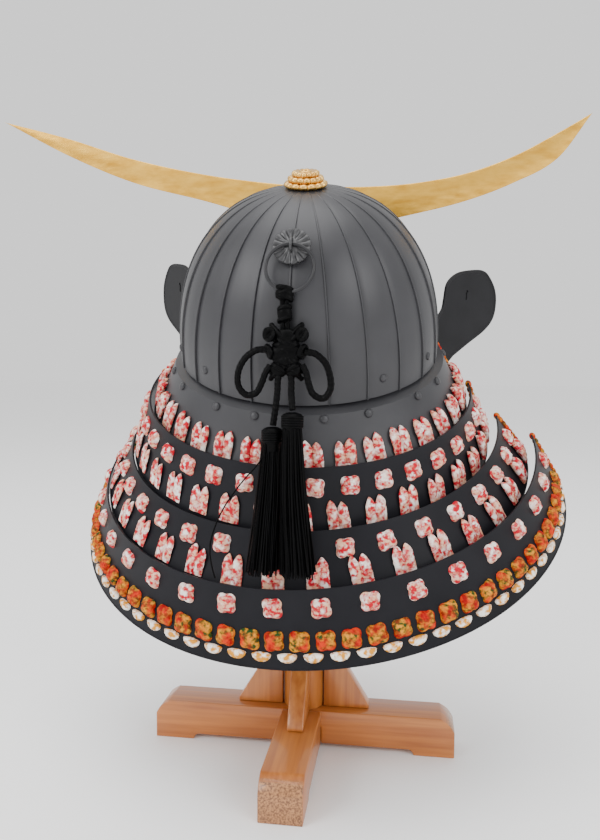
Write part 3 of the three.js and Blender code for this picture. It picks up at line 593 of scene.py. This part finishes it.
def make_lacquer(name, dark, light, rough, coat, shine, metallic=0.0):
    material, tree, shader = finish(name, metallic, coat)
    shader.inputs["Specular IOR Level"].default_value = shine
    tone = add_mottle(tree, dark, light, 26, (1, 1, 1), 0.8)
    grains = add_mottle(tree, (0, 0, 0), (1, 1, 1), 1500, (1, 1, 1), 0.7)
    tree.links.new(tone.outputs["Colour"], shader.inputs["Base Color"])
    add_roughness(tree, shader, tone.outputs["Mask"], rough - 0.04, rough + 0.06)
    add_bump(tree, shader, grains.outputs["Mask"], 0.10, 0.0002)
    shader.inputs["Coat Roughness"].default_value = 0.3
    return material


bowl_lacquer = make_lacquer("bowl_lacquer", (0.020, 0.020, 0.023), (0.034, 0.034, 0.038), 0.42, 0.0, 0.42)
ring_steel = make_lacquer("ring_steel", (0.008, 0.008, 0.009), (0.022, 0.022, 0.025), 0.35, 0.0, 0.35)
RIDGE = [(-1.3, 0), (-0.62, -0.35), (-0.5, 0.55), (-0.38, 1.15), (0.05, 1.35), (0.5, 1.1), (0.62, 0.1), (1.3, 0)]
heights = [BOWL_HEIGHT * math.sin(math.pi / 2 * k / 44) for k in range(44)] + [BOWL_HEIGHT * 0.99985]
columns = []
pitch = math.tau / PLATES
rows = []
for h in heights:
    r = bowl_radius(h)
    fade = min(1, r / 45)
    row = []
    for plate in range(PLATES):
        for across, rise in RIDGE:
            a = plate * pitch + min(abs(across) / max(r, 1), pitch * 0.3) * (1 if across > 0 else -1)
            row.append((a, r + rise * fade))
        for share in (0.25, 0.5, 0.75):
            row.append((plate * pitch + pitch * share, r + 0.35 * fade * math.sin(math.pi * share)))
    rows.append([(rr * math.sin(a), rr * math.cos(a), h) for a, rr in row])
inner_scale = (BOWL_RADIUS - 2.2) / BOWL_RADIUS
for h in [0, 30, 60, 85, 105, 120, 130, 134, 135.8]:
    r = bowl_radius(h) * inner_scale
    rows.append([(r * x / math.hypot(x, y), r * y / math.hypot(x, y), h * inner_scale) for x, y, _ in rows[0]])
outer = list(reversed(rows[:len(heights)])) + rows[len(heights):]
width = len(outer[0])
vertices = [BOWL_POSE @ Vector(point) for row in outer for point in row]
bowl_parts = [(vertices, grid_faces(len(outer), width))]


def seat(pose, radius, height, slope, angle):
    """Frame standing on a surface: X sideways, Y up along it, Z outwards."""
    a, s = math.radians(angle), math.radians(slope)
    out = Vector((math.cos(s) * math.sin(a), math.cos(s) * math.cos(a), math.sin(s)))
    up = Vector((-math.sin(s) * math.sin(a), -math.sin(s) * math.cos(a), math.cos(s)))
    side = up.cross(out)
    base = Vector((radius * math.sin(a), radius * math.cos(a), height))
    local = Matrix((side, up, out)).transposed().to_4x4()
    return pose @ Matrix.Translation(base) @ local


def turned_on(frame_at, profile, sides=20):
    """Turned piece from radius and height, standing on a seat."""
    vertices = [frame_at @ Vector((r * math.cos(math.tau * s / sides), r * math.sin(math.tau * s / sides), z))
                for r, z in profile for s in range(sides)]
    return vertices, grid_faces(len(profile), sides)


RIVET_PROFILE = [(3.3, -0.6), (3.3, 0.35), (2.9, 1.1), (2.1, 1.6), (1.1, 1.9), (0.1, 2)]
for angle in (-68, -38.5, 40, 68):
    bowl_parts.append(turned_on(seat(BOWL_POSE, bowl_radius(14), 14, 0, angle), RIVET_PROFILE))
make_piece("bowl_plates", bowl_parts, bowl_lacquer, ["bowl"], crease=50)

# ---- crown fitting ----
# Gilt copper: three petalled rings stacked round the hole in the top of the bowl.
CROWN_BASE = BOWL_HEIGHT + 0.3
CROWN_PETALS = 14
crown_gilt, tree, shader = finish("crown_gilt", 1.0)
worn = add_mottle(tree, (0.55, 0.28, 0.06), (0.90, 0.58, 0.17), 160, (1, 1, 1), 1.0)
tree.links.new(worn.outputs["Colour"], shader.inputs["Base Color"])
add_roughness(tree, shader, worn.outputs["Mask"], 0.42, 0.22)
add_bump(tree, shader, worn.outputs["Mask"], 0.15, 0.0003)


def petal_ring(frame_at, radius, petals, profile, notch, steps=8, phase=0.0):
    """Wheel of petals: the profile gives radius share, height and how deep the notches are there."""
    count = petals * steps
    vertices = []
    for share, z, depth in profile:
        for i in range(count):
            angle = math.tau * i / count + phase
            valley = 1 - abs(math.sin(petals * (angle - phase) / 2)) ** 0.6
            vertices.append(frame_at @ Vector((
                radius * share * (1 - notch * depth * valley) * math.cos(angle),
                radius * share * (1 - notch * depth * valley) * math.sin(angle),
                z - valley * depth * 0.5,
            )))
    return vertices, grid_faces(len(profile), count)


top = BOWL_POSE @ Matrix.Translation((0, 0, CROWN_BASE))
crown_parts = []
base = 0
for tier, (radius, height) in enumerate([(17.3, 4.2), (14.4, 4), (11, 3.6)]):
    profile = [(0.80, base - 0.4, 0.4), (0.95, base + 0.3, 0.8), (1.0, base + height * 0.45, 1),
               (0.97, base + height * 0.8, 1), (0.86, base + height, 0.8), (0.66, base + height * 0.92, 0.4),
               (0.45, base + height * 0.9, 0)]
    if tier == 2:
        profile[-1] = (0.48, base + height * 0.85, 0)
        profile += [(0.42, base + height + 0.5, 0), (0.34, base + height + 0.5, 0), (0.29, base + height, 0),
                    (0.29, base - 4, 0), (0.02, base - 4.2, 0)]
    crown_parts.append(petal_ring(top, radius, CROWN_PETALS, profile, 0.1, phase=tier * math.pi / CROWN_PETALS))
    base += height
make_piece("crown_petals", crown_parts, crown_gilt, ["crown_fitting"], crease=60)

# ---- rosette and ring ----
# A petalled steel washer on the back of the bowl holds a staple, and a ring hangs in the staple.
ROSETTE_HEIGHT, ROSETTE_SLOPE, ROSETTE_LIFT = 107.5, 43.9, 3
slope = math.radians(ROSETTE_SLOPE)
seat_radius = bowl_radius(ROSETTE_HEIGHT)
rosette_at = seat(BOWL_POSE, seat_radius + ROSETTE_LIFT * math.cos(slope),
                  ROSETTE_HEIGHT + ROSETTE_LIFT * math.sin(slope), ROSETTE_SLOPE, 0)
rosette_steel, tree, shader = finish("rosette_steel", 0.3)
rubbed = add_mottle(tree, (0.012, 0.012, 0.014), (0.06, 0.06, 0.062), 300, (1, 1, 1), 0.7)
tree.links.new(rubbed.outputs["Colour"], shader.inputs["Base Color"])
add_roughness(tree, shader, rubbed.outputs["Mask"], 0.42, 0.26)
add_bump(tree, shader, rubbed.outputs["Mask"], 0.2, 0.0003)
profile = [(0.9, -3, 0), (0.97, 0.2, 0.7), (1, 1.2, 1), (0.99, 2.1, 1.2), (0.94, 2.4, 1.6), (0.8, 2.2, 1.8),
           (0.6, 2.5, 1.6), (0.42, 2.9, 1.0), (0.36, 3.3, 0), (0.24, 3.7, 0), (0.05, 3.8, 0)]
rosette_parts = [petal_ring(rosette_at, 14, 16, profile, 0.05)]
STAPLE_RADIUS, STAPLE_WIRE = 4.7, 1.1
staple = [rosette_at @ Vector((0, STAPLE_RADIUS * math.cos(math.tau * i / 36), 3.5 + STAPLE_RADIUS * math.sin(math.tau * i / 36)))
          for i in range(37)]
rosette_parts.append(tube(staple, STAPLE_WIRE / 1000, 12))
make_piece("rosette", rosette_parts, rosette_steel, ["cord_rosette"], crease=60)
hang = math.radians(32.7)
ring_radius = 17.2
ring_middle = (seat_radius + 8.25 * math.cos(slope) + ring_radius * math.sin(hang),
               ROSETTE_HEIGHT + 8.25 * math.sin(slope) - ring_radius * math.cos(hang))
ring_at = seat(BOWL_POSE, *ring_middle, 32.7, 0)
loop = [ring_at @ Vector((ring_radius * math.cos(math.tau * i / 72), ring_radius * math.sin(math.tau * i / 72), 0)) for i in range(73)]
make_piece("ring", [tube(loop, 0.00125, 14)], ring_steel, ["cord_ring"])

# ---- visor ----
# Curved steel peak over the brow, riveted inside the bowl's rim, with a rolled edge.
VISOR_HALF = 52
rows = []
for i in range(41):
    u = 2 * i / 40 - 1
    angle = 180 + VISOR_HALF * u
    reach = 8 + 30 * max(0.0, math.cos(math.pi / 2 * u)) ** 0.6
    section = [(104.4, 5), (104.7, -1.2)]
    section += [(104.6 + reach * k / 8, -1.4 - 16 * (reach / 38) * (k / 8) ** 1.1) for k in range(1, 8)]
    tip = (104.4 + reach, -1.4 - 16 * reach / 38)
    section += [tip, (tip[0] + 0.7, tip[1] - 0.4), (tip[0] + 0.9, tip[1] - 1.1), (tip[0] + 0.3, tip[1] - 1.9), (tip[0] - 0.6, tip[1] - 1.9)]
    section += [(104.4 + reach * k / 8, -3.0 - 16 * (reach / 38) * (k / 8) ** 1.1) for k in range(7, 0, -1)]
    section += [(102.8, -3.0), (102.8, 5)]
    rows.append([around(BOWL_POSE, r, angle, h) for r, h in section])
count = len(rows[0])
vertices = [point for row in rows for point in row]
faces = grid_faces(len(rows), count)
cap = tessellate_polygon([[Vector((r, h, 0)) for r, h in section]])
faces += [tuple(t) for t in cap] + [tuple((len(rows) - 1) * count + i for i in t) for t in cap]
make_piece("visor_sheet", [(vertices, faces)], bowl_lacquer, ["visor"])

# ---- neck guard ----
# Four curved steel lames, lacquered nearly black, each hung from the one above on paired laces. Rows of
# cross knots sit on the lower three, and the lowest has a rope-like row and half-moon stitches.
neck_lacquer = make_lacquer("neck_lacquer", (0.006, 0.006, 0.008), (0.011, 0.011, 0.014), 0.42, 0.0, 0.13)


def make_silk(name, dark, light, scale, contrast, third=None):
    material, tree, shader = finish(name, 0.0)
    shader.inputs["Specular IOR Level"].default_value = 0.15
    marble = add_mottle(tree, dark, light, scale, (1, 1, 1), contrast)
    colour = marble.outputs["Colour"]
    if third:
        second = add_mottle(tree, third[0], third[1], scale * 1.3, (1, 1, 1.2), contrast)
        patches = add_mottle(tree, (0, 0, 0), (1, 1, 1), scale * 0.6, (1, 1, 1), 2.4)
        mix = tree.nodes.new("ShaderNodeMix")
        mix.data_type = "RGBA"
        tree.links.new(patches.outputs["Mask"], mix.inputs["Factor"])
        tree.links.new(colour, mix.inputs[6])
        tree.links.new(second.outputs["Colour"], mix.inputs[7])
        colour = mix.outputs[2]
    tree.links.new(colour, shader.inputs["Base Color"])
    threads = add_mottle(tree, (0, 0, 0), (1, 1, 1), 2200, (1, 1, 0.35), 1.0)
    add_roughness(tree, shader, threads.outputs["Mask"], 0.55, 0.8)
    add_bump(tree, shader, threads.outputs["Mask"], 0.5, 0.0004)
    return material


lace_silk = make_silk("lace_silk", (0.50, 0.0, 0.016), (0.93, 0.87, 0.80), 230, 4.0, [(0.50, 0.004, 0.02), (0.80, 0.46, 0.30)])
rope_silk = make_silk("rope_silk", (0.30, 0.0, 0.0), (0.62, 0.03, 0.002), 230, 3.0, [(0.012, 0.05, 0.008), (0.66, 0.26, 0.012)])
moon_silk = make_silk("moon_silk", (0.66, 0.27, 0.02), (0.96, 0.93, 0.85), 260, 3.2)


def on_lame(pose, line, down, angle):
    (r0, h0), (r1, h1) = line
    share = down / math.hypot(r1 - r0, h1 - h0)
    slope = math.degrees(math.atan2(r1 - r0, h0 - h1))
    # seat() slopes are measured from level outwards, and a lame's outward side looks down by its slope
    return seat(pose, r0 + (r1 - r0) * share, h0 + (h1 - h0) * share, slope, angle)


def blob(frame_at, centre, size, spin, rings=6, sides=10):
    """Rounded lobe lying on a seat, turned by spin about the seat's normal."""
    c, s = math.cos(spin), math.sin(spin)
    vertices = []
    for r in range(rings + 1):
        polar = math.pi * r / rings
        for k in range(sides):
            angle = math.tau * k / sides
            x, y = size[0] / 2 * math.sin(polar) * math.cos(angle), size[1] / 2 * math.sin(polar) * math.sin(angle)
            vertices.append(frame_at @ Vector((centre[0] + x * c - y * s, centre[1] + x * s + y * c,
                                               centre[2] + size[2] / 2 * math.cos(polar))))
    return vertices, grid_faces(rings + 1, sides)


def cross_knot(frame_at, size, height, sides=32, rings=6):
    """Square cushion of cross stitches: four rounded corners, a nick in each side, twisted strands on top."""
    spin = rng.uniform(-0.14, 0.14)
    corner = [1 + rng.uniform(-0.07, 0.07) for _ in range(4)]
    phase, seed = rng.uniform(0, math.tau), rng.uniform(0, 50)
    vertices = []
    for r in range(rings + 1):
        share = math.sin(math.pi / 2 * (1 - r / rings))
        for k in range(sides):
            angle = math.tau * k / sides
            c, d = math.cos(angle), math.sin(angle)
            square = (abs(c) ** 3.4 + abs(d) ** 3.4) ** (-1 / 3.4)
            nick = 1 - 0.11 * abs(math.cos(2 * angle)) ** 5
            reach = size / 2 * square * nick * corner[int(angle / (math.pi / 2)) % 4] * share
            x, y = reach * c, reach * d
            twist = 0.4 * math.sin((x + y) * 1.5 + phase) * (1 - share**4)
            rough = 0.35 * noise.noise(Vector((x * 0.5 + seed, y * 0.5, 0)))
            z = -0.6 + (height + 0.6) * (1 - share**3.2) ** 0.8 + twist + rough
            vertices.append(frame_at @ Vector((x * math.cos(spin) - y * math.sin(spin),
                                               x * math.sin(spin) + y * math.cos(spin), z)))
    faces = grid_faces(rings + 1, sides) + [tuple(range(sides))]
    return [(vertices, faces)]


def half_moon(frame_at):
    """Stitch with a flat upper side and a round lower one."""
    profile = []
    sides, rings = 14, 5
    vertices = []
    for k in range(rings + 1):
        level = k / rings
        shrink = math.sqrt(max(0.0, 1 - level**2))
        for s in range(sides):
            angle = math.tau * s / sides
            x, y = math.cos(angle), math.sin(angle)
            y = y * 0.28 if y > 0 else y
            vertices.append(frame_at @ Vector((7.3 * x * (0.25 + 0.75 * shrink), 1.8 + 5.6 * y * (0.2 + 0.8 * shrink), -0.4 + 3.6 * level)))
    return [(vertices, grid_faces(rings + 1, sides) + [tuple(rings * sides + s for s in range(sides))])]


def lace(frame_at, side, thick, pair_lean):
    """Plump tongue with a rounded top, running down behind the next lame's edge."""
    top_end, foot, half_width = 15.4 + rng.uniform(-1.8, 0.8), -7, 4.15 + rng.uniform(-0.2, 0.25)
    seed = rng.uniform(0, 50)
    vertices, sides = [], 12
    drops = [0.05, 0.5, 1.3, 2.6, 4.2, 6, 8, 10, 12, 14.5, 17.5, top_end - foot]
    for drop in drops:
        y = top_end - drop
        wide = (1 - (1 - min(1, drop / 8.5)) ** 2) ** 0.72
        high = thick * wide ** 0.7 * (1 - 0.5 * max(0, drop - 10) / 12)
        middle = side * 4.05 + pair_lean * (y - foot) / 22 + 0.35 * noise.noise(Vector((seed, y * 0.25, 1)))
        plump = 1 + 0.16 * noise.noise(Vector((seed, y * 0.4, 5)))
        for k in range(sides):
            angle = math.tau * k / sides
            bump = 0.3 * wide * math.sin(y * 1.3 + 2 * math.cos(angle) + seed)
            vertices.append(frame_at @ Vector((middle + half_width * plump * wide * math.cos(angle), y,
                                               -0.6 + (high * 0.5 + 0.3) * (1 + math.sin(angle)) + bump * max(0, math.sin(angle)))))
    faces = grid_faces(len(drops), sides)
    faces.append(tuple(range(sides)))
    faces.append(tuple((len(drops) - 1) * sides + k for k in range(sides)))
    return vertices, faces


LAMES = [
    {"line": [(104.4, 5), (104.8, -1.4), (114.5, -5), (136.5, -46)], "half": 108, "pose": BOWL_POSE,
     "laces": (10.4, -3.6, 18, 33.5, 3.8, 3.8), "end_laces": (-102.2, 95.2)},
    {"line": [(140, -34.5), (157.5, -84)], "half": 98, "pose": BOWL_POSE,
     "knots": (10.4, -3.6, 18, 15), "laces": (10.4, 0.1, 18, 40.3, 3.8, 1.8),
     "end_laces": (-94.8, 94.8)},
    {"line": [(163.3, -72.5), (189.4, -110)], "half": 97, "pose": MIDDLE_POSE,
     "knots": (10.4, -1.1, 18, 14), "laces": (10.06, 0.4, 19, 35, 3.8, 2.2),
     "end_laces": ()},
    {"line": [(194, -101), (219.8, -151)], "half": 98.5, "pose": LOWEST_POSE,
     "knots": (10.06, -0.1, 19, 13.5), "rope": (5.03, -0.4, 37, 37), "moons": (5.03, -0.4, 38, 48.5)},
]
SHEET = 1.6
rng = random.Random(11)


def columns_of(row, more=()):
    """Angles of a row's columns, each with its share of the way along the row; more adds some at the ends."""
    columns = [((i - (row[2] - 1) / 2) * row[0] + row[1], i / (row[2] - 1)) for i in range(row[2])]
    return columns + [(angle, 0.0 if angle < 0 else 1.0) for angle in more]


for number, lame in enumerate(LAMES, 1):
    pose, line, end = lame["pose"], lame["line"], lame["half"]
    straight = line[-2:]
    (r0, h0), (r1, h1) = straight
    outward = Vector((h0 - h1, r1 - r0)).normalized()
    outer_line = list(line[:-2])
    for k in range(9):
        t = k / 8
        belly = 0.9 * math.sin(math.pi * t)
        outer_line.append((r0 + (r1 - r0) * t - outward.x * belly, h0 + (h1 - h0) * t - outward.y * belly))
    down = Vector((r1 - r0, h1 - h0)).normalized()
    bead = [(r1 + outward.x * 0.5 + down.x * 0.4, h1 + outward.y * 0.5 + down.y * 0.4),
            (r1 + outward.x * 0.3 + down.x * 1.2, h1 + outward.y * 0.3 + down.y * 1.2),
            (r1 - outward.x * 0.9 + down.x * 1.5, h1 - outward.y * 0.9 + down.y * 1.5)]
    section = outer_line + bead + [(r - outward.x * SHEET, h - outward.y * SHEET) for r, h in reversed(outer_line)]
    steps = 96
    rows = [[around(pose, r, -end + 2 * end * i / steps, h) for r, h in section] for i in range(steps + 1)]
    vertices = [point for row in rows for point in row]
    count = len(section)
    faces = grid_faces(len(rows), count)
    cap = tessellate_polygon([[Vector((r, h, 0)) for r, h in section]])
    faces += [tuple(t) for t in cap] + [tuple((len(rows) - 1) * count + i for i in t) for t in cap]
    parts = [(vertices, faces)]
    if number == 1:
        for angle in (-99, -70, -54, -30, -13, 13, 30, 54, 70, 99):
            parts.append(turned_on(seat(pose, 116.2, -7.6, 28, angle), RIVET_PROFILE))
    look = bowl_lacquer if number == 1 else neck_lacquer
    make_piece("lame_%d" % number, parts, look, ["neck_lame_%d" % number], crease=35)
    silk = []
    for angle, share in columns_of(lame["knots"]) if "knots" in lame else []:
        silk += cross_knot(on_lame(pose, straight, lame["knots"][3], angle), 14.6, 4.3)
    if "laces" in lame:
        start, stop = lame["laces"][4:]
        for angle, share in columns_of(lame["laces"], lame["end_laces"]):
            at = on_lame(pose, straight, lame["laces"][3], angle)
            pair_lean = rng.uniform(-2.2, 0.6)
            thick = (start + (stop - start) * share) * (1 + 0.6 * min(1, max(0, abs(angle) - 50) / 35))
            for side in (-1, 1):
                silk.append(lace(at, side, thick, pair_lean))
    if silk:
        make_piece("lacing_%d" % number, silk, lace_silk, crease=60)
    binding = []
    for side in (-1, 1):
        for k in range(9):
            down_by = (k + 0.5) / 9 * math.hypot(r1 - r0, h1 - h0)
            at = on_lame(pose, straight, down_by, side * end)
            binding.append(blob(at, (0, 0, -0.7), (8.4, 7.4, 5.6), 0.5 * side))
    make_piece("end_binding_%d" % number, binding, rope_silk, crease=60)
    if "rope" in lame:
        rope, moons = [], []
        for angle, share in columns_of(lame["rope"]):
            rope += cross_knot(on_lame(pose, straight, lame["rope"][3], angle), 15.2, 4.4)
        for angle, share in columns_of(lame["moons"]):
            moons += half_moon(on_lame(pose, straight, lame["moons"][3], angle))
        make_piece("rope_row", rope, rope_silk, crease=60)
        make_piece("half_moon_row", moons, moon_silk, crease=60)

# ---- crest and its socket ----
# A thin crescent of gilt brass, cut uneven by hand, whose tang stands in a steel socket over the visor.
CREST_EDGES = [
    (320, 203, 203), (255, 185.5, 169), (190, 164.5, 142), (120, 148.5, 123.5), (50, 138, 104), (0, 134, 98),
    (-45, 133, 99.5), (-90, 135.5, 107.5), (-135, 143, 118), (-177, 157, 133), (-216, 176.5, 154), (-244, 192, 192),
]
CREST_POSE = (Matrix.Translation(place(-7, -83.1, 385)) @ Matrix.Rotation(math.radians(-8), 4, "X")
              @ Matrix.Scale(0.001, 4))
crest_gilt, tree, shader = finish("crest_gilt", 1.0)
brushed = add_mottle(tree, (0.55, 0.28, 0.03), (0.88, 0.52, 0.09), 60, (1, 1, 3), 1.0)
tree.links.new(brushed.outputs["Colour"], shader.inputs["Base Color"])
strokes = add_mottle(tree, (0, 0, 0), (1, 1, 1), 900, (0.12, 1, 1), 1.0)
add_roughness(tree, shader, brushed.outputs["Mask"], 0.5, 0.34)
add_bump(tree, shader, strokes.outputs["Mask"], 0.2, 0.0003)


def spline_at(points, position):
    """Height of a smooth line through (x, y) points that run from high x to low."""
    for i in range(len(points) - 1):
        if position >= points[i + 1][0] or i == len(points) - 2:
            break
    a, b = points[max(i - 1, 0)], points[i]
    c, d = points[i + 1], points[min(i + 2, len(points) - 1)]
    t = (position - b[0]) / (c[0] - b[0])
    slope_b = (c[1] - a[1]) / (c[0] - a[0]) * (c[0] - b[0])
    slope_c = (d[1] - b[1]) / (d[0] - b[0]) * (c[0] - b[0])
    return ((2 * t**3 - 3 * t**2 + 1) * b[1] + (t**3 - 2 * t**2 + t) * slope_b
            + (3 * t**2 - 2 * t**3) * c[1] + (t**3 - t**2) * slope_c)


tops = [(x, high) for x, high, _ in CREST_EDGES]
bottoms = [(x, low) for x, _, low in CREST_EDGES]
rows = []
for i in range(161):
    t = i / 160
    x = 282 * math.cos(math.pi * t) + 38
    high, low = spline_at(tops, x), spline_at(bottoms, x)
    wide = max(high - low, 0.6)
    edge = min(0.8, wide * 0.3)
    rows.append([(x, 0, high), (x, 0.7, high - edge * 0.3), (x, 1, high - edge), (x, 1, low + edge), (x, 0.7, low + edge * 0.3),
                 (x, 0, low), (x, -0.7, low + edge * 0.3), (x, -1, low + edge), (x, -1, high - edge), (x, -0.7, high - edge * 0.3)])
vertices = [CREST_POSE @ Vector(point) for row in rows for point in row]
faces = grid_faces(len(rows), 10) + [tuple(range(10)), tuple(1600 + k for k in range(10))]
tang_rows = [[(-11, -0.9, z), (11, -0.9, z), (11, 0.9, z), (-11, 0.9, z)] for z in (28, 60, 90, 112)]
tang = ([CREST_POSE @ Vector(p) for row in tang_rows for p in row], grid_faces(4, 4) + [(0, 1, 2, 3), (12, 13, 14, 15)])
make_piece("crest_blade", [(vertices, faces), tang], crest_gilt, ["crest"], crease=50)


def rounded_box(width, front, back, corner, steps=5):
    points = []
    for cx, cy, start in [(1, 1, 0), (-1, 1, 90), (-1, -1, 180), (1, -1, 270)]:
        edge = back if cy > 0 else front
        for k in range(steps + 1):
            a = math.radians(start + 90 * k / steps)
            points.append((cx * (width / 2 - corner) + corner * math.cos(a), edge - cy * corner + corner * math.sin(a)))
    return points


rows = []
for width, front, back, corner, z in [
    (21, -1.0, 1.0, 0.3, 29), (22.6, -1.3, 1.3, 0.4, 29), (22.6, -1.3, 1.3, 0.4, 51.4), (24, -1.8, 2, 0.6, 52),
    (33, -2.8, 5, 1.2, 52), (34, -3.2, 5.4, 1.6, 51.2), (34, -3.2, 5.4, 1.6, 26.8), (33, -2.8, 5, 1.2, 26), (4, 0.5, 1.5, 0.2, 26),
]:
    rows.append([CREST_POSE @ Vector((x, y, z)) for x, y in rounded_box(width, front, back, corner)])
count = len(rows[0])
faces = grid_faces(len(rows), count) + [tuple(range(count)), tuple((len(rows) - 1) * count + k for k in range(count))]
make_piece("socket", [([p for row in rows for p in row], faces)], bowl_lacquer, ["crest_socket"])

# ---- turn-backs ----
# The ends of the top lame, turned back beside the face: stiff lacquered sheet with a raised rim and a
# small slot near the top.
TURN_BACK_EDGE = [
    (18, 357), (37, 368), (60, 381), (71.5, 392), (75.5, 405), (74, 418), (66, 429), (57, 434), (40, 433), (22, 429),
    (10, 420), (6.5, 407), (4, 397), (-3, 388), (-8, 378), (-8, 362), (-4, 351), (10, 350),
]
turn_back_lacquer, tree, shader = finish("turn_back_lacquer", 0.0)
shade = add_mottle(tree, (0.002, 0.002, 0.003), (0.009, 0.009, 0.011), 45, (1, 1, 1), 1.0)
shader.inputs["Specular IOR Level"].default_value = 0.25
tree.links.new(shade.outputs["Colour"], shader.inputs["Base Color"])
add_roughness(tree, shader, shade.outputs["Mask"], 0.5, 0.62)
add_bump(tree, shader, shade.outputs["Mask"], 0.15, 0.0005)
SLOT = [(32.5, 407), (34.6, 407), (35.4, 409), (35.4, 413.5), (37, 414.4), (36.2, 416), (34, 415.6), (32.8, 414), (32.5, 411)]
for name, side, sweep, lift in [("turn_back_left", 1, 50, 9), ("turn_back_right", -1, 45, 0)]:
    c, s = math.cos(math.radians(-sweep)), math.sin(math.radians(-sweep))

    def in_place(along, up, thick):
        x, y = along * c - thick * s, along * s + thick * c
        return place(RIM_CENTRE.x + side * (112 + x), -17 + y, up + lift)

    outline = [(p.x, p.y) for p in smooth_path([Vector((a, u, 0)) for a, u in TURN_BACK_EDGE], 2.5)]
    loops = [[Vector((a, u, 0)) for a, u in outline], [Vector((a, u, 0)) for a, u in SLOT]]
    flat = outline + SLOT
    triangles = tessellate_polygon(loops)
    count = len(flat)
    vertices = [in_place(a, u, t) for t in (-1, 1) for a, u in flat]
    faces = [tuple(reversed(t)) for t in triangles] + [tuple(count + i for i in t) for t in triangles]
    for first, size in [(0, len(outline)), (len(outline), len(SLOT))]:
        for i in range(size):
            a, b = first + i, first + (i + 1) % size
            faces.append((a, b, count + b, count + a))
    rim = tube([in_place(a, u, 0) for a, u in outline + outline[:1]], 0.0016, 10)
    # The slot is closed halfway through the sheet by a thin dark sheet of the same lacquer: painted shade standing in
    # for the dark inside of the through slot.
    make_piece(name + "_sheet", [(vertices, faces), rim, slab(SLOT, -0.35, 0.35, in_place)], turn_back_lacquer, [name])
